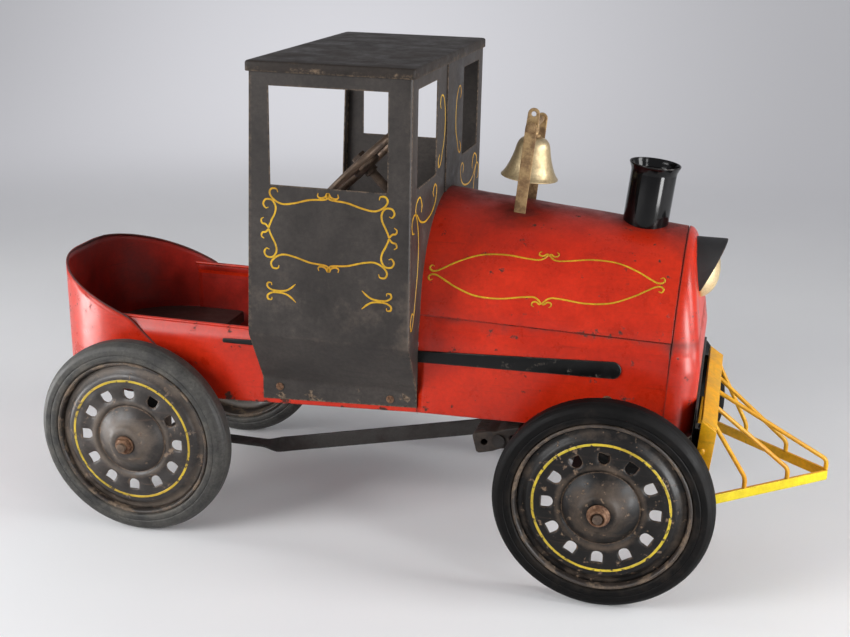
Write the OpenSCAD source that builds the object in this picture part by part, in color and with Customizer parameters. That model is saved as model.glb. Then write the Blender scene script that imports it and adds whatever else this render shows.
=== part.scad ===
// Pedal car built like a small steam locomotive, pressed steel on four wheels.
// Millimetres, X forward, Y to the left, Z up, ground at Z = 0.
// Modules measure X from the rear axle; placed() moves the origin to mid-length.

/* [Wheels] */
// outer diameter of a tyre
wheel_d = 254; // [240:1:262]
// width of a tyre
tyre_w = 32; // [28:1:34]
// radial height of a tyre above its rim
tyre_h = 27; // [22:1:30]
// distance from rear axle to front axle
wheelbase = 590; // [575:1:600]
// distance between the middle planes of the front tyres
front_track = 362; // [358:1:380]
// distance between the middle planes of the rear tyres
rear_track = 328; // [322:1:350]
// diameter of the axle and spindles
axle_d = 11; // [9:0.5:12]
// number of openings in each wheel disc
wheel_holes = 12; // [6:1:14]

/* [Body] */
// outside width of the lower body
body_w = 268; // [258:1:272]
// thickness of the pressed sheets
sheet = 1.5; // [1:0.1:2]
// height of the rolled edge of the seat well
rim_z = 272; // [266:1:276]
// height of the fold where hood and sides meet, at the cab
crease_z = 313; // [309:1:317]
// height of the lower edge of the body at the front
bottom_z = 190; // [186:1:194]
// drop of the lower edge towards the rear
bottom_drop = 16; // [0:1:18]
// length of the body behind the rear axle
tail_len = 150; // [140:1:165]
// corner radius of the rounded tail, seen from above
tail_r = 105; // [80:1:115]
// height of the top of the seat back
back_z = 325; // [315:1:340]
// height of the seat top
seat_z = 203; // [198:1:212]
// position of the front edge of the seat
seat_front = 25; // [10:1:50]
// angle at which each front side panel runs in towards the nose
taper = 3; // [2:0.1:3.4]

/* [Hood and nose] */
// length of the hood ahead of the front axle
hood_over = 60; // [40:1:75]
// step of the fold in from the body side to the hood
ledge_in = 7.5; // [5:0.5:12]
// drop of the hood's middle line towards the nose
hood_drop = 11; // [6:0.5:14]
// depth of the nose pan
nose_len = 35; // [28:1:38]

/* [Cab] */
// outside width of the cab
cab_w = 356; // [340:1:380]
// position of the rear edge of the cab
cab_rear = 168; // [155:1:185]
// length of the cab
cab_len = 190; // [186:1:194]
// height of the top of the roof
roof_z = 605; // [580:1:640]
// depth of the roof's turned edge
roof_lip = 12; // [8:1:20]
// height where the side starts to slope in
knee_z = 286; // [280:1:300]
// height where the slope meets the body
flange_z = 217; // [212:1:225]
// height of a side window
window_h = 111; // [80:1:115]
// length of a side window
window_len = 138; // [100:1:145]
// height of the window sills
sill_z = 467; // [462:1:475]

/* [Steering] */
// radius of the steering wheel
steer_r = 87; // [75:1:92]
// width of the steering wheel rim
steer_rim = 17; // [12:1:22]
// height of the steering wheel centre
steer_z = 461; // [456:1:466]
// diameter of the steering column
column_d = 12; // [10:0.5:13]
// length of the drop arm and of the knuckle arms
arm_len = 46; // [42:1:48]
// distance between the king pins
king_span = 300; // [296:1:304]
// diameter of the king pins
king_d = 10; // [8:0.5:11]

/* [Pedals] */
// crank radius of the rear axle
crank_r = 38; // [30:1:42]
// distance between the two cranks
crank_span = 120; // [112:1:130]
// position of the pedal pin
pedal_x = 455; // [445:1:462]
// height of the pedal pin
pedal_z = 158; // [150:1:164]
// length of a pedal arm, pin to pin
pedal_arm = 112; // [105:1:118]
// width of the pedal block
pedal_len = 44; // [36:1:45]
// thickness of straps and arms
strap_t = 4; // [3:0.5:5]
// width of the drive straps
strap_w = 20; // [16:1:22]

/* [Bell, stack and lamp] */
// position of the bell
bell_x = 456; // [445:1:475]
// radius of the bell mouth
bell_r = 35; // [28:0.5:36]
// height of the bell pivot above the hood
bell_pivot = 96; // [90:1:110]
// diameter of the cord hole in the bell lever
cord_hole = 6; // [4:0.5:8]
// position of the smokestack
stack_x = 602; // [590:1:610]
// outer radius of the smokestack
stack_r = 27; // [22:0.5:32]
// height of the smokestack above the hood
stack_h = 71; // [55:1:85]
// radius of the headlamp
lamp_r = 35; // [28:0.5:38]
// drop from the nose top to the headlamp centre
lamp_drop = 48; // [44:1:56]

/* [Pilot] */
// reach of the pilot tip ahead of the front axle
pilot_reach = 259; // [240:1:290]
// outside width of the pilot frame
pilot_w = 266; // [260:1:266]
// height of the pilot beam
pilot_z = 215; // [205:1:222]
// height of the lower edge of the pilot rails
rail_z = 110; // [100:1:120]
// height of the pilot rails
rail_h = 12.5; // [10:0.5:16]
// diameter of the pilot bars
bar_d = 5.5; // [4:0.5:8]

/* [Hidden] */
$fn = 64;
// gap between pieces that are fixed to each other
seat_gap = 0.1;
// radial clearance of a running fit
run_gap = 0.05;
// clearance beside a moving piece
side_gap = 0.4;
axle_z = wheel_d / 2;
axle_r = axle_d / 2;
rim_r = axle_z - tyre_h;
tyre_hw = tyre_w / 2;
ring_z = tyre_hw - 2;
hub_top = ring_z + 17;
hub_low = -10;
nut_h = 7;
axle_out = ring_z + 29;
half = body_w / 2;
cab_half = cab_w / 2;
cab_front = cab_rear + cab_len;
cab_foot = cab_rear - 6;
tail_x = -tail_len;
tip_x = wheelbase + pilot_reach;
mid_x = (tip_x + tail_x) / 2;
side_start = tail_x + tail_r + 5;
slope_start = 60;
low_z = bottom_z - bottom_drop;
lower_fold = 14;
rim_in = 8;
ledge_h = 28;
flange_w = 12;
spear_z = 263;
hood_x = cab_front - 15;
hood_end = wheelbase + hood_over;
hood_len = hood_end - hood_x;
hood_r1 = half - ledge_in + 0.5;
hood_r2 = half - ledge_in - (hood_end - cab_front) * tan(taper) - 1.2;
hood_tilt = atan2(hood_drop, hood_len);
fold_z = crease_z - (cab_front - hood_x) * tan(hood_tilt);
hood_axis = sqrt(hood_len * hood_len + hood_drop * hood_drop);
crown_tilt = hood_tilt + atan2(hood_r1 - hood_r2, hood_axis);
nose_z = crease_z - hood_drop;
nose_low = nose_z - bottom_z;
lamp_z = nose_z + hood_r2 - lamp_drop;
nose_half = half - (hood_end - cab_front) * tan(taper) + 1;
back_half = half + sheet + 0.2;
wall_top = roof_z - sheet;
lap = 20;
window_x = cab_rear + (cab_len - window_len) / 2 - 1;
screw_d = 5;
screw_z = 205;
screw_x = [cab_foot + 22, cab_front - 33];
column_x = cab_front - 108;
column_r = column_d / 2;
king_y = king_span / 2;
tie_x = wheelbase - arm_len;
arm_r = 4.5;
eye_r = king_d / 2 + 6;
eye_h = 30;
lug_t = 6;
eye_low = axle_z - eye_h / 2;
arm_z = eye_low - side_gap - lug_t;
pin_r = 4;
tie_t = 4.6;
tie_z = arm_z - side_gap - tie_t / 2;
tie_span = sqrt(pow(tie_x - column_x, 2) + pow(steer_z - tie_z, 2));
column_len = sqrt(tie_span * tie_span - arm_len * arm_len);
column_tilt = atan2(steer_z - tie_z, tie_x - column_x) - asin(arm_len / tie_span);
elbow_x = column_x + column_len * cos(column_tilt);
elbow_z = steer_z - column_len * sin(column_tilt);
beam_t = 8;
beam_h = 24;
beam_top = axle_z + beam_h / 2;
web_y = king_y + eye_r + 1;
web_t = 5;
spindle_y = web_y + web_t;
front_mid = front_track / 2;
rear_mid = rear_track / 2;
hanger_y = half - 19;
bush_r = axle_r + 3.5;
bush_len = 16;
crank_y = crank_span / 2;
crank_gap = strap_w / 2 + 2;
web_off = crank_gap + axle_r;
shaft_r = 5;
shaft_x = pedal_x + 20;
shaft_z = pedal_z + sqrt(pedal_arm * pedal_arm - 400);
arm_y = crank_y + strap_t + 1.5;
block_y = arm_y + strap_t / 2 + 1;
strap_bend = 150;
strap_twist = 40;
strap_slope = atan2(pedal_z - axle_z + crank_r, pedal_x - strap_bend);
rod_turn = atan2(pedal_z - axle_z + crank_r, pedal_x) - atan2(pedal_z - axle_z - crank_r, pedal_x);
leg_y = bell_r + 2;
leg_t = 2.5;
pivot_r = 3.5;
pilot_half = pilot_w / 2;
pilot_t = 4;
beam_x = wheelbase + 109.5;
rail_back = beam_x - 6;

// colours of the finishes
red = "#b5281c";
charcoal = "#35322f";
black = "#1c1c1d";
yellow = "#e3b52c";
steel = "#6d6a66";
brass = "#b08a4a";
rubber = "#2b2a29";

// moves the origin from the rear axle to the middle of the length
module placed(tint) {
    color(tint) translate([-mid_x, 0, 0]) children();
}

// a piece drawn on the left, mirrored for the right
module to_side(right) {
    mirror([0, right ? 1 : 0, 0]) children();
}

// both sides of a mirrored pair
module both() {
    children();
    mirror([0, 1, 0]) children();
}

// a cylinder along Y, from y0 to y1
module bar_y(r, y0, y1) {
    translate([0, y0, 0]) rotate([-90, 0, 0]) cylinder(r = r, h = y1 - y0);
}

// a flat plate drawn as side view in X and Z, its faces at y0 and y1
module plate_y(y0, y1) {
    translate([0, y1, 0]) rotate([90, 0, 0]) linear_extrude(y1 - y0) children();
}

// a flat plate drawn as front view in Y and Z, its faces at x0 and x1
module plate_x(x0, x1) {
    translate([x0, 0, 0]) rotate([90, 0, 90]) linear_extrude(x1 - x0) children();
}

// local frames: front side panel, nose, hood crown at x, steering column, wheel
module panel_frame() {
    translate([cab_front, half, 0]) rotate([0, 0, -taper]) children();
}

module nose_frame() {
    translate([hood_end, 0, nose_z]) rotate([0, hood_tilt, 0]) children();
}

function crown_z(x) = crease_z + hood_r1
    - (x - hood_x) * (hood_drop + hood_r1 - hood_r2) / hood_len;

module crown_frame(x) {
    translate([x, 0, crown_z(x)]) rotate([0, crown_tilt, 0]) children();
}

module column_frame() {
    translate([column_x, 0, steer_z]) rotate([0, 90 + column_tilt, 0]) children();
}

module wheel_frame(x, mid) {
    translate([x, mid, axle_z]) rotate([-90, 0, 0]) children();
}

// the round of the hood as a solid cone, grown by g
module hood_solid(g) {
    translate([hood_x, 0, crease_z]) rotate([0, 90 + hood_tilt, 0])
        cylinder(r1 = hood_r1 + g, r2 = hood_r2 + g, h = hood_axis, $fn = 128);
}

module hood_shell() {
    placed(red) difference() {
        hood_solid(0);
        translate([hood_x, 0, crease_z]) rotate([0, 90 + hood_tilt, 0]) translate([0, 0, -1])
            cylinder(r1 = hood_r1 - sheet, r2 = hood_r2 - sheet, h = hood_axis + 2, $fn = 128);
        translate([hood_x, 0, crease_z]) rotate([0, hood_tilt, 0])
            translate([-20, -cab_w / 2, -cab_w]) cube([hood_len + 60, cab_w, cab_w]);
    }
}

// one slice of the nose: round top of radius r above a box of half width w
module nose_slice(x, r, w, low, top) {
    translate([x, 0, 0]) rotate([0, 90, 0]) cylinder(r = r, h = 0.5);
    translate([x, -w, -low]) cube([0.5, w * 2, low - top]);
}

// the nose as a solid, shrunk by g and started g behind the seam
module nose_solid(g) {
    nose_frame() hull() {
        nose_slice(seat_gap - g, hood_r2 - g, nose_half - g, nose_low, ledge_h);
        nose_slice(5 - g, hood_r2 - 3 - g, nose_half - 1 - g, nose_low, ledge_h);
        translate([14 - g, -nose_half + 4 + g, -nose_low]) cube([1, (nose_half - 4 - g) * 2, nose_low - 26]);
        translate([13 - g, 0, 0]) rotate([0, 90, 0]) cylinder(r = hood_r2 - 26 - g, h = 0.5);
        translate([nose_len - 7 - g, -nose_half + 10 + g, -nose_low])
            cube([1, (nose_half - 10 - g) * 2, nose_low - 32]);
        translate([nose_len - 0.5 - g, -nose_half + 22 + g, -nose_low + 8])
            cube([0.5, (nose_half - 22 - g) * 2, nose_low - 44]);
    }
}

module nose_shell() {
    placed(red) difference() {
        nose_solid(0);
        nose_solid(sheet);
        nose_frame() translate([-20, -half, -nose_low - 1])
            cube([20 + seat_gap + 0.01, body_w, nose_low + hood_r2 + 5]);
        nose_frame() translate([seat_gap, -nose_half + 20, -nose_low - 1])
            cube([nose_len - 12, nose_half * 2 - 40, 10]);
    }
}

module body_side(right) {
    panel_len = (hood_end - cab_front) / cos(taper);
    placed(red) to_side(right) difference() {
        union() {
            plate_y(half - sheet, half) polygon([
                [side_start, low_z], [slope_start, low_z], [cab_front, bottom_z],
                [cab_front, rim_z - lower_fold], [side_start, rim_z - lower_fold]]);
            plate_x(side_start, cab_front) polygon([
                [half, rim_z - lower_fold], [half - rim_in, rim_z],
                [half - rim_in - sheet, rim_z], [half - sheet, rim_z - lower_fold]]);
            translate([side_start, half - rim_in - sheet, rim_z]) rotate([0, 90, 0])
                cylinder(r = 2.5, h = cab_rear + 10 - side_start);
            translate([side_start, half - flange_w, low_z])
                cube([slope_start - side_start, flange_w, sheet]);
            plate_y(half - flange_w, half) polygon([
                [slope_start, low_z], [cab_front, bottom_z],
                [cab_front, bottom_z + sheet], [slope_start, low_z + sheet]]);
            plate_y(half - 1, half + 2) spear_rear();
            panel_frame() {
                plate_y(-sheet, 0) polygon([
                    [0, bottom_z], [panel_len, bottom_z],
                    [panel_len, fold_z - ledge_h - hood_drop], [0, fold_z - ledge_h]]);
                translate([0, -flange_w, bottom_z]) cube([panel_len, flange_w, sheet]);
                plate_y(-1, 2) spear_front();
                translate([0, 0, fold_z]) rotate([0, hood_tilt, 0])
                    plate_x(0, panel_len + 2) polygon([
                        [0, -ledge_h - 6], [0, -ledge_h], [-ledge_in, -seat_gap],
                        [-ledge_in - sheet, -seat_gap], [-sheet, -ledge_h], [-sheet, -ledge_h - 6]]);
            }
        }
        nose_frame() translate([0, -half, -nose_low - 10]) cube([60, body_w * 2, cab_w]);
        for (x = screw_x) translate([x, 0, screw_z])
            bar_y(screw_d / 2 + run_gap, half - 10, half + 10);
    }
}

// raised spear on the body side, thin at the tail, round at the front
module spear_rear() {
    polygon([[109, spear_z - 9], [cab_front, spear_z - 7], [cab_front, spear_z + 7.5], [109, spear_z - 3]]);
    translate([109, spear_z - 6]) circle(r = 3);
}

module spear_front() {
    spear_len = 228;
    polygon([[0, spear_z - 7], [spear_len, spear_z - 6], [spear_len, spear_z + 15], [0, spear_z + 7.5]]);
    translate([spear_len, spear_z + 4.5]) circle(r = 10.5);
}

// plan of the tub: straight sides, rounded tail, half width w, tail at x0
module tub_plan(w, x0, r, x1) {
    translate([x0 + r, w - r]) circle(r = r, $fn = 128);
    translate([x0 + r, r - w]) circle(r = r, $fn = 128);
    translate([x0, r - w]) square([x1 - x0, (w - r) * 2]);
    translate([x0 + r, -w]) square([x1 - x0 - r, w * 2]);
}

module seat_back() {
    wrap_x = 72;
    rise = (back_z - rim_z) / (tail_len - 16);
    placed(red) intersection() {
        translate([0, 0, low_z]) linear_extrude(back_z - low_z + 30) difference() {
            tub_plan(back_half, tail_x, tail_r, wrap_x);
            tub_plan(back_half - sheet, tail_x + sheet, tail_r - sheet, wrap_x + 1);
        }
        plate_y(-half * 2, half * 2) polygon([
            [tail_x - 10, low_z], [wrap_x, low_z], [wrap_x, low_z + 8], [30, rim_z - 43],
            [-16, rim_z], [tail_x - 10, rim_z + (tail_len - 6) * rise]]);
    }
}

module seat_pan() {
    seat_half = half - sheet - seat_gap;
    placed(charcoal) union() {
        difference() {
            translate([0, 0, seat_z - 2])
                linear_extrude(2) tub_plan(seat_half, tail_x + sheet + 2, tail_r - 4, seat_front);
            translate([0, 0, seat_z - 20]) linear_extrude(40)
                translate([tail_x - 10, -half * 2]) square([8 + sheet, body_w * 2]);
        }
        both() translate([side_start, seat_half - 2, seat_z - 16])
            cube([seat_front - side_start, 2, 15]);
        translate([seat_front - 2, -seat_half, seat_z - 16]) cube([2, seat_half * 2, 15]);
    }
}

// front wall of one cab half, seen from the front, with the notch over the hood
module cab_front_view() {
    difference() {
        polygon([
            [-lap, crease_z], [half + 2, flange_z], [cab_half, knee_z],
            [cab_half, wall_top], [-lap, wall_top]]);
        translate([0, crease_z]) circle(r = hood_r1 + 2, $fn = 128);
        translate([-lap - 1, 0]) square([half + 2.5 + lap + 1, crease_z]);
        translate([64, sill_z + 1]) square([cab_half - 26 - 64, window_h]);
    }
}

module cab_half(right) {
    wall_in = cab_half - sheet;
    foot_y = half + seat_gap;
    front_x = right ? cab_front - sheet : cab_front;
    placed(charcoal) to_side(right) difference() {
        union() {
            plate_y(wall_in, cab_half) difference() {
                polygon([
                    [cab_foot, knee_z], [cab_front, knee_z], [cab_front, wall_top], [cab_rear + 3, wall_top]]);
                translate([window_x, sill_z]) square([window_len, window_h]);
            }
            plate_x(cab_foot, cab_front) polygon([
                [cab_half, knee_z], [wall_in, knee_z], [foot_y, flange_z],
                [foot_y + sheet, flange_z - sheet]]);
            plate_y(foot_y, foot_y + sheet) polygon([
                [cab_foot, low_z + 7], [cab_front, bottom_z + 1],
                [cab_front, flange_z + 1], [cab_foot, flange_z + 1]]);
            plate_x(front_x, front_x + sheet) cab_front_view();
            translate([cab_rear + 3, wall_in - 12, knee_z + 8]) cube([sheet, 13, wall_top - knee_z - 8]);
            if (!right) translate([cab_front - sheet, wall_in, knee_z])
                cube([sheet * 2, sheet, wall_top - knee_z]);
        }
        for (x = screw_x) translate([x, 0, screw_z])
            bar_y(screw_d / 2 + run_gap, half - 10, half + 10);
    }
}

module cab_roof() {
    over = 3;
    placed(charcoal) difference() {
        translate([cab_rear - 2, -cab_half - over, roof_z - roof_lip])
            cube([cab_len + 6, cab_w + over * 2, roof_lip]);
        translate([cab_rear - 2 + sheet, -cab_half - over + sheet, roof_z - roof_lip - 1])
            cube([cab_len + 6 - sheet * 2, cab_w + (over - sheet) * 2, roof_lip - sheet + 1]);
    }
}

module cab_screws() {
    placed(steel) both() for (x = screw_x) translate([x, half + seat_gap * 2 + sheet, screw_z]) {
        bar_y(screw_d / 2, -sheet * 2 - 3, 1);
        rotate([-90, 0, 0]) cylinder(r1 = screw_d, r2 = screw_d - 2, h = 2.5);
    }
}

module dash_panel() {
    dash_x = hood_x + 2;
    dash_r = hood_r1 - sheet - 0.5;
    placed(charcoal) difference() {
        plate_x(dash_x, dash_x + 2) difference() {
            translate([0, crease_z]) circle(r = dash_r, $fn = 128);
            translate([-dash_r - 1, crease_z - dash_r * 2]) square([dash_r * 2 + 2, dash_r * 2 + 12]);
        }
        column_frame() cylinder(r = column_r + 3 + seat_gap, h = column_len);
    }
}

module column_bush() {
    bush_mid = (hood_x + 3 - column_x) / cos(column_tilt);
    placed(steel) column_frame() translate([0, 0, bush_mid - 22]) difference() {
        union() {
            cylinder(r = column_r + 3, h = 38);
            cylinder(r = column_r + 6, h = 5);
        }
        translate([0, 0, -1]) cylinder(r = column_r + run_gap, h = 40);
    }
}

module smokestack() {
    flare = 3.5;
    placed(black) difference() {
        crown_frame(stack_x) rotate_extrude() polygon([
            [stack_r - 1.6, -16], [stack_r, -16], [stack_r, stack_h - 9],
            [stack_r + flare, stack_h - 2], [stack_r + flare, stack_h],
            [stack_r + flare - 1.5, stack_h], [stack_r - 1.6, stack_h - 8]]);
        hood_solid(seat_gap);
    }
}

module lamp_frame() {
    translate([hood_end + 19, 0, lamp_z]) rotate([0, 90, 0]) children();
}

module headlamp() {
    placed(brass) difference() {
        lamp_frame() {
            rotate_extrude() polygon([
                [0, 0], [lamp_r - 1, 0], [lamp_r, 3], [lamp_r - 1, 8], [lamp_r - 6, 16],
                [lamp_r - 15, 22], [lamp_r - 27, 25.5], [0, 26]]);
            translate([0, 0, -14]) cylinder(r = lamp_r - 5, h = 15);
        }
        nose_solid(-seat_gap);
    }
}

module lamp_visor() {
    visor_r = lamp_r + 3;
    placed(black) difference() {
        lamp_frame() translate([0, 0, -14]) difference() {
            cylinder(r = visor_r, h = 46);
            translate([0, 0, -1]) cylinder(r = visor_r - sheet, h = 48);
        }
        nose_solid(-seat_gap);
        plate_y(-lamp_r * 2, lamp_r * 2) polygon([
            [hood_end, lamp_z - 60], [hood_end, lamp_z - 20], [hood_end + 24, lamp_z - 20],
            [hood_end + 51, lamp_z + 40], [hood_end + 80, lamp_z + 40], [hood_end + 80, lamp_z - 60]]);
    }
}

module bell_bracket() {
    placed(steel) both() difference() {
        crown_frame(bell_x) {
            translate([-7, leg_y, -14]) cube([14, leg_t, bell_pivot + 14]);
            translate([0, 0, bell_pivot]) bar_y(7, leg_y, leg_y + leg_t);
        }
        hood_solid(seat_gap);
        crown_frame(bell_x) translate([0, 0, bell_pivot])
            bar_y(pivot_r + run_gap, leg_y - 1, leg_y + leg_t + 1);
    }
}

module bell() {
    top = bell_pivot - 17;
    placed(brass) crown_frame(bell_x) rotate_extrude() polygon([
        [4 + seat_gap, top], [14, top - 1], [19, top - 6], [21.5, top - 14], [24, top - 26],
        [bell_r - 7, top - 36], [bell_r - 3, top - 44], [bell_r, top - 49], [bell_r - 2, top - 49],
        [bell_r - 5.5, top - 44], [bell_r - 9.5, top - 36], [21.5, top - 26], [19.2, top - 14],
        [17, top - 7.5], [13, top - 3.5], [4 + seat_gap, top - 2.5]]);
}

module bell_yoke() {
    top = bell_pivot - 17;
    pin_out = leg_y + leg_t + side_gap;
    lever_y = leg_y - 6;
    placed(brass) crown_frame(bell_x) difference() {
        union() {
            translate([0, 0, bell_pivot]) {
                bar_y(4, -leg_y + side_gap, leg_y - side_gap);
                bar_y(pivot_r, -pin_out - 2, pin_out + 2);
                both() bar_y(5.5, pin_out, pin_out + 2.5);
                bar_y(8, -lever_y - 3, -lever_y);
            }
            translate([-7, -lever_y - 3, bell_pivot]) cube([14, 3, 16]);
            translate([0, 0, bell_pivot + 16]) bar_y(7, -lever_y - 3, -lever_y);
            translate([0, 0, top - 8]) cylinder(r = 4, h = 26);
            translate([0, 0, top + seat_gap]) cylinder(r = 7, h = 4, $fn = 6);
            translate([0, 0, top - 8]) cylinder(r = 7, h = 5 - seat_gap, $fn = 6);
            both() translate([-3, 3.2, top - 17]) cube([6, 2, 10]);
            translate([0, 0, top - 13]) bar_y(1.5, -5, 5);
        }
        translate([0, 0, bell_pivot + 16]) bar_y(cord_hole / 2, -lever_y - 4, -lever_y + 1);
    }
}

module bell_clapper() {
    top = bell_pivot - 17;
    placed(steel) crown_frame(bell_x) difference() {
        union() {
            translate([0, 0, top - 13]) bar_y(3.8, -2.8, 2.8);
            translate([0, 0, top - 44]) cylinder(r = 1.6, h = 28);
            translate([0, 0, top - 45]) sphere(r = 6);
        }
        translate([0, 0, top - 13]) bar_y(1.5 + run_gap, -4, 4);
    }
}

// side view of the tilted pilot beam and of one leg
module beam_solid(y) {
    translate([beam_x, 0, pilot_z]) rotate([0, 30, 0]) translate([-10, -y, -2]) cube([20, y * 2, 4]);
}

module pilot_beam() {
    placed(yellow) beam_solid(pilot_half - pilot_t - seat_gap);
}

module pilot_leg(right) {
    placed(yellow) to_side(right) plate_y(pilot_half - pilot_t, pilot_half) polygon([
        [beam_x - 8.5, pilot_z + 7], [beam_x + 9.5, pilot_z - 5], [beam_x + 1, rail_z], [beam_x - 15, rail_z]]);
}

function rail_x(y) = tip_x - 2.5 - y * (tip_x - rail_back) / (pilot_half - pilot_t);

module pilot_rail(right) {
    reach = tip_x - rail_back;
    run = sqrt(reach * reach + pow(pilot_half - pilot_t, 2));
    turn = atan2(pilot_half - pilot_t, reach);
    placed(yellow) to_side(right) intersection() {
        translate([tip_x - 2.5, 0, rail_z]) rotate([0, 0, 180 - turn])
            translate([-10, -pilot_t / 2, 0]) cube([run + 30, pilot_t, rail_h]);
        translate([rail_back - 60, seat_gap / 2, 0])
            cube([reach + 60, pilot_half - pilot_t - seat_gap * 1.5, axle_z * 2]);
    }
}

module pilot_bars() {
    bar_r = bar_d / 2;
    rail_top = rail_z + rail_h;
    bend = 13;
    placed(yellow) difference() {
        for (i = [-2:2]) {
            foot_y = i * (pilot_half - pilot_t) * 0.32;
            top_y = i * (pilot_half - pilot_t) * 0.4;
            foot_x = rail_x(abs(foot_y)) - (i == 0 ? 3 : 0);
            top_p = [beam_x + 4, top_y, pilot_z - 3];
            foot_p = [foot_x, foot_y, rail_top + bend];
            d = foot_p - top_p;
            len = norm(d);
            translate(top_p) rotate([0, acos(d[2] / len), atan2(d[1], d[0])])
                cylinder(r = bar_r, h = len, $fn = 32);
            translate(foot_p) sphere(r = bar_r + 0.05, $fn = 32);
            translate([foot_x, foot_y, rail_top + seat_gap]) cylinder(r = bar_r, h = bend, $fn = 32);
        }
        translate([beam_x, 0, pilot_z]) rotate([0, 30, 0])
            translate([-30, -pilot_half, -2]) cube([60, pilot_w, 40]);
    }
}

module pilot_bracket() {
    bracket_half = pilot_half - pilot_t - seat_gap;
    placed(black) nose_frame() {
        translate([nose_len + seat_gap, -bracket_half, -nose_low - 38]) cube([3, bracket_half * 2, 84]);
        both() translate([nose_len + 2, bracket_half - 3, -nose_low - 38]) cube([15, 3, 60]);
    }
}

module pilot_rivets() {
    placed(yellow) both() for (z = [pilot_z - 62, pilot_z - 30])
        translate([beam_x - 3 + (z - pilot_z) * 0.08, pilot_half, z]) bar_y(4, seat_gap / 2, 2.2);
}

module front_axle_beam() {
    placed(black) difference() {
        union() {
            translate([wheelbase - beam_t / 2, -king_y, axle_z - beam_h / 2])
                cube([beam_t, king_span, beam_h]);
            both() translate([wheelbase, king_y, eye_low]) cylinder(r = eye_r, h = eye_h);
        }
        both() translate([wheelbase, king_y, eye_low - 1])
            cylinder(r = king_d / 2 + run_gap, h = eye_h + 2);
    }
}

module front_hangers() {
    hanger_w = 26;
    face = wheelbase + beam_t / 2 + seat_gap;
    out_y = half - (wheelbase - cab_front) * tan(taper) - 3;
    placed(black) both() {
        translate([face, out_y - hanger_w, axle_z - beam_h / 2])
            cube([4, hanger_w, bottom_z - seat_gap - axle_z + beam_h / 2]);
        translate([face - 36, out_y - hanger_w, bottom_z - seat_gap - 4]) cube([38, hanger_w, 4]);
    }
}

module column_bearing() {
    bearing_s = column_len - 20;
    placed(black) difference() {
        union() {
            column_frame() translate([0, 0, bearing_s - 9]) cylinder(r = column_r + 5, h = 18);
            plate_y(-3, 3) polygon([
                [elbow_x - 14, elbow_z + 24], [elbow_x - 4, elbow_z + 15],
                [wheelbase - 6, beam_top + seat_gap], [wheelbase + 6, beam_top + seat_gap],
                [wheelbase + 6, beam_top + 5], [elbow_x, elbow_z + 28]]);
            translate([wheelbase - 5, -14, beam_top + seat_gap]) cube([11, 28, 3]);
        }
        column_frame() cylinder(r = column_r + run_gap, h = column_len + 30);
    }
}

module knuckle(right) {
    lug_top = eye_low + eye_h + side_gap;
    placed(steel) to_side(right) {
        translate([wheelbase, king_y, 0]) {
            for (z = [arm_z, lug_top]) translate([0, 0, z]) {
                cylinder(r = eye_r, h = lug_t);
                translate([-eye_r, 0, 0]) cube([eye_r * 2, spindle_y - king_y, lug_t]);
            }
            translate([-eye_r, web_y - king_y, arm_z]) cube([eye_r * 2, web_t, lug_top + lug_t - arm_z]);
            translate([0, 0, arm_z]) cylinder(r = king_d / 2, h = lug_top + lug_t - arm_z);
            translate([0, 0, lug_top + lug_t - 0.5]) cylinder(r = king_d / 2 + 3, h = 4.5);
            translate([-arm_len, -6, arm_z]) cube([arm_len, 12, lug_t]);
            translate([-arm_len, 0, arm_z]) cylinder(r = pin_r + 5, h = lug_t);
            translate([-arm_len, 0, arm_z - tie_t - side_gap * 2 - 3.5]) {
                cylinder(r = pin_r, h = tie_t + side_gap * 2 + 4);
                cylinder(r = pin_r + 2.5, h = 3.5);
            }
        }
        translate([wheelbase, 0, axle_z]) {
            bar_y(axle_r, spindle_y - 1, front_mid + axle_out);
            bar_y(axle_r + 3, spindle_y - 1, front_mid + hub_low - side_gap);
        }
    }
}

module tie_rod() {
    low = arm_z - tie_t - side_gap;
    slot_len = 24;
    slot_w = 13;
    placed(steel) difference() {
        translate([tie_x, 0, low]) {
            translate([-7, -king_y, 0]) cube([14, king_span, tie_t]);
            translate([-slot_len / 2 - 8, -slot_w / 2 - 9, 0]) cube([slot_len + 16, slot_w + 18, tie_t]);
            both() translate([0, king_y, 0]) cylinder(r = pin_r + 5, h = tie_t);
        }
        translate([tie_x, 0, low - 1]) {
            both() translate([0, king_y, 0]) cylinder(r = pin_r + run_gap, h = tie_t + 2);
            translate([-slot_len / 2, -slot_w / 2, 0])
                cube([slot_len, slot_w, tie_t + 2]);
        }
    }
}

module steering_wheel() {
    rim_in_r = steer_r - steer_rim;
    placed(charcoal) column_frame() difference() {
        union() {
            rotate_extrude($fn = 96) polygon([
                [rim_in_r, -2], [rim_in_r + 4, -4.5], [steer_r - 4, -4.5], [steer_r, -1.5],
                [steer_r, 1.5], [steer_r - 4, 4.5], [rim_in_r + 4, 4.5], [rim_in_r, 2]]);
            for (a = [0, 120, 240]) rotate([0, 0, a + 180])
                translate([0, -8, -1.5]) cube([rim_in_r + 3, 16, 3]);
            translate([0, 0, -7]) cylinder(r = 20, h = 16);
        }
        translate([0, 0, -8]) cylinder(r = column_r + run_gap, h = 18);
    }
}

module steering_column() {
    placed(steel) column_frame() {
        translate([0, 0, -9]) cylinder(r = column_r, h = column_len + 9);
        translate([0, 0, -14]) cylinder(r = 10, h = 7 - seat_gap, $fn = 6);
        translate([0, 0, column_len]) sphere(r = column_r);
        translate([0, 0, column_len]) rotate([0, 90, 0]) cylinder(r = arm_r, h = arm_len + 14);
        translate([0, 0, 9 + seat_gap]) cylinder(r = column_r + 3, h = 5);
    }
}

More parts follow.
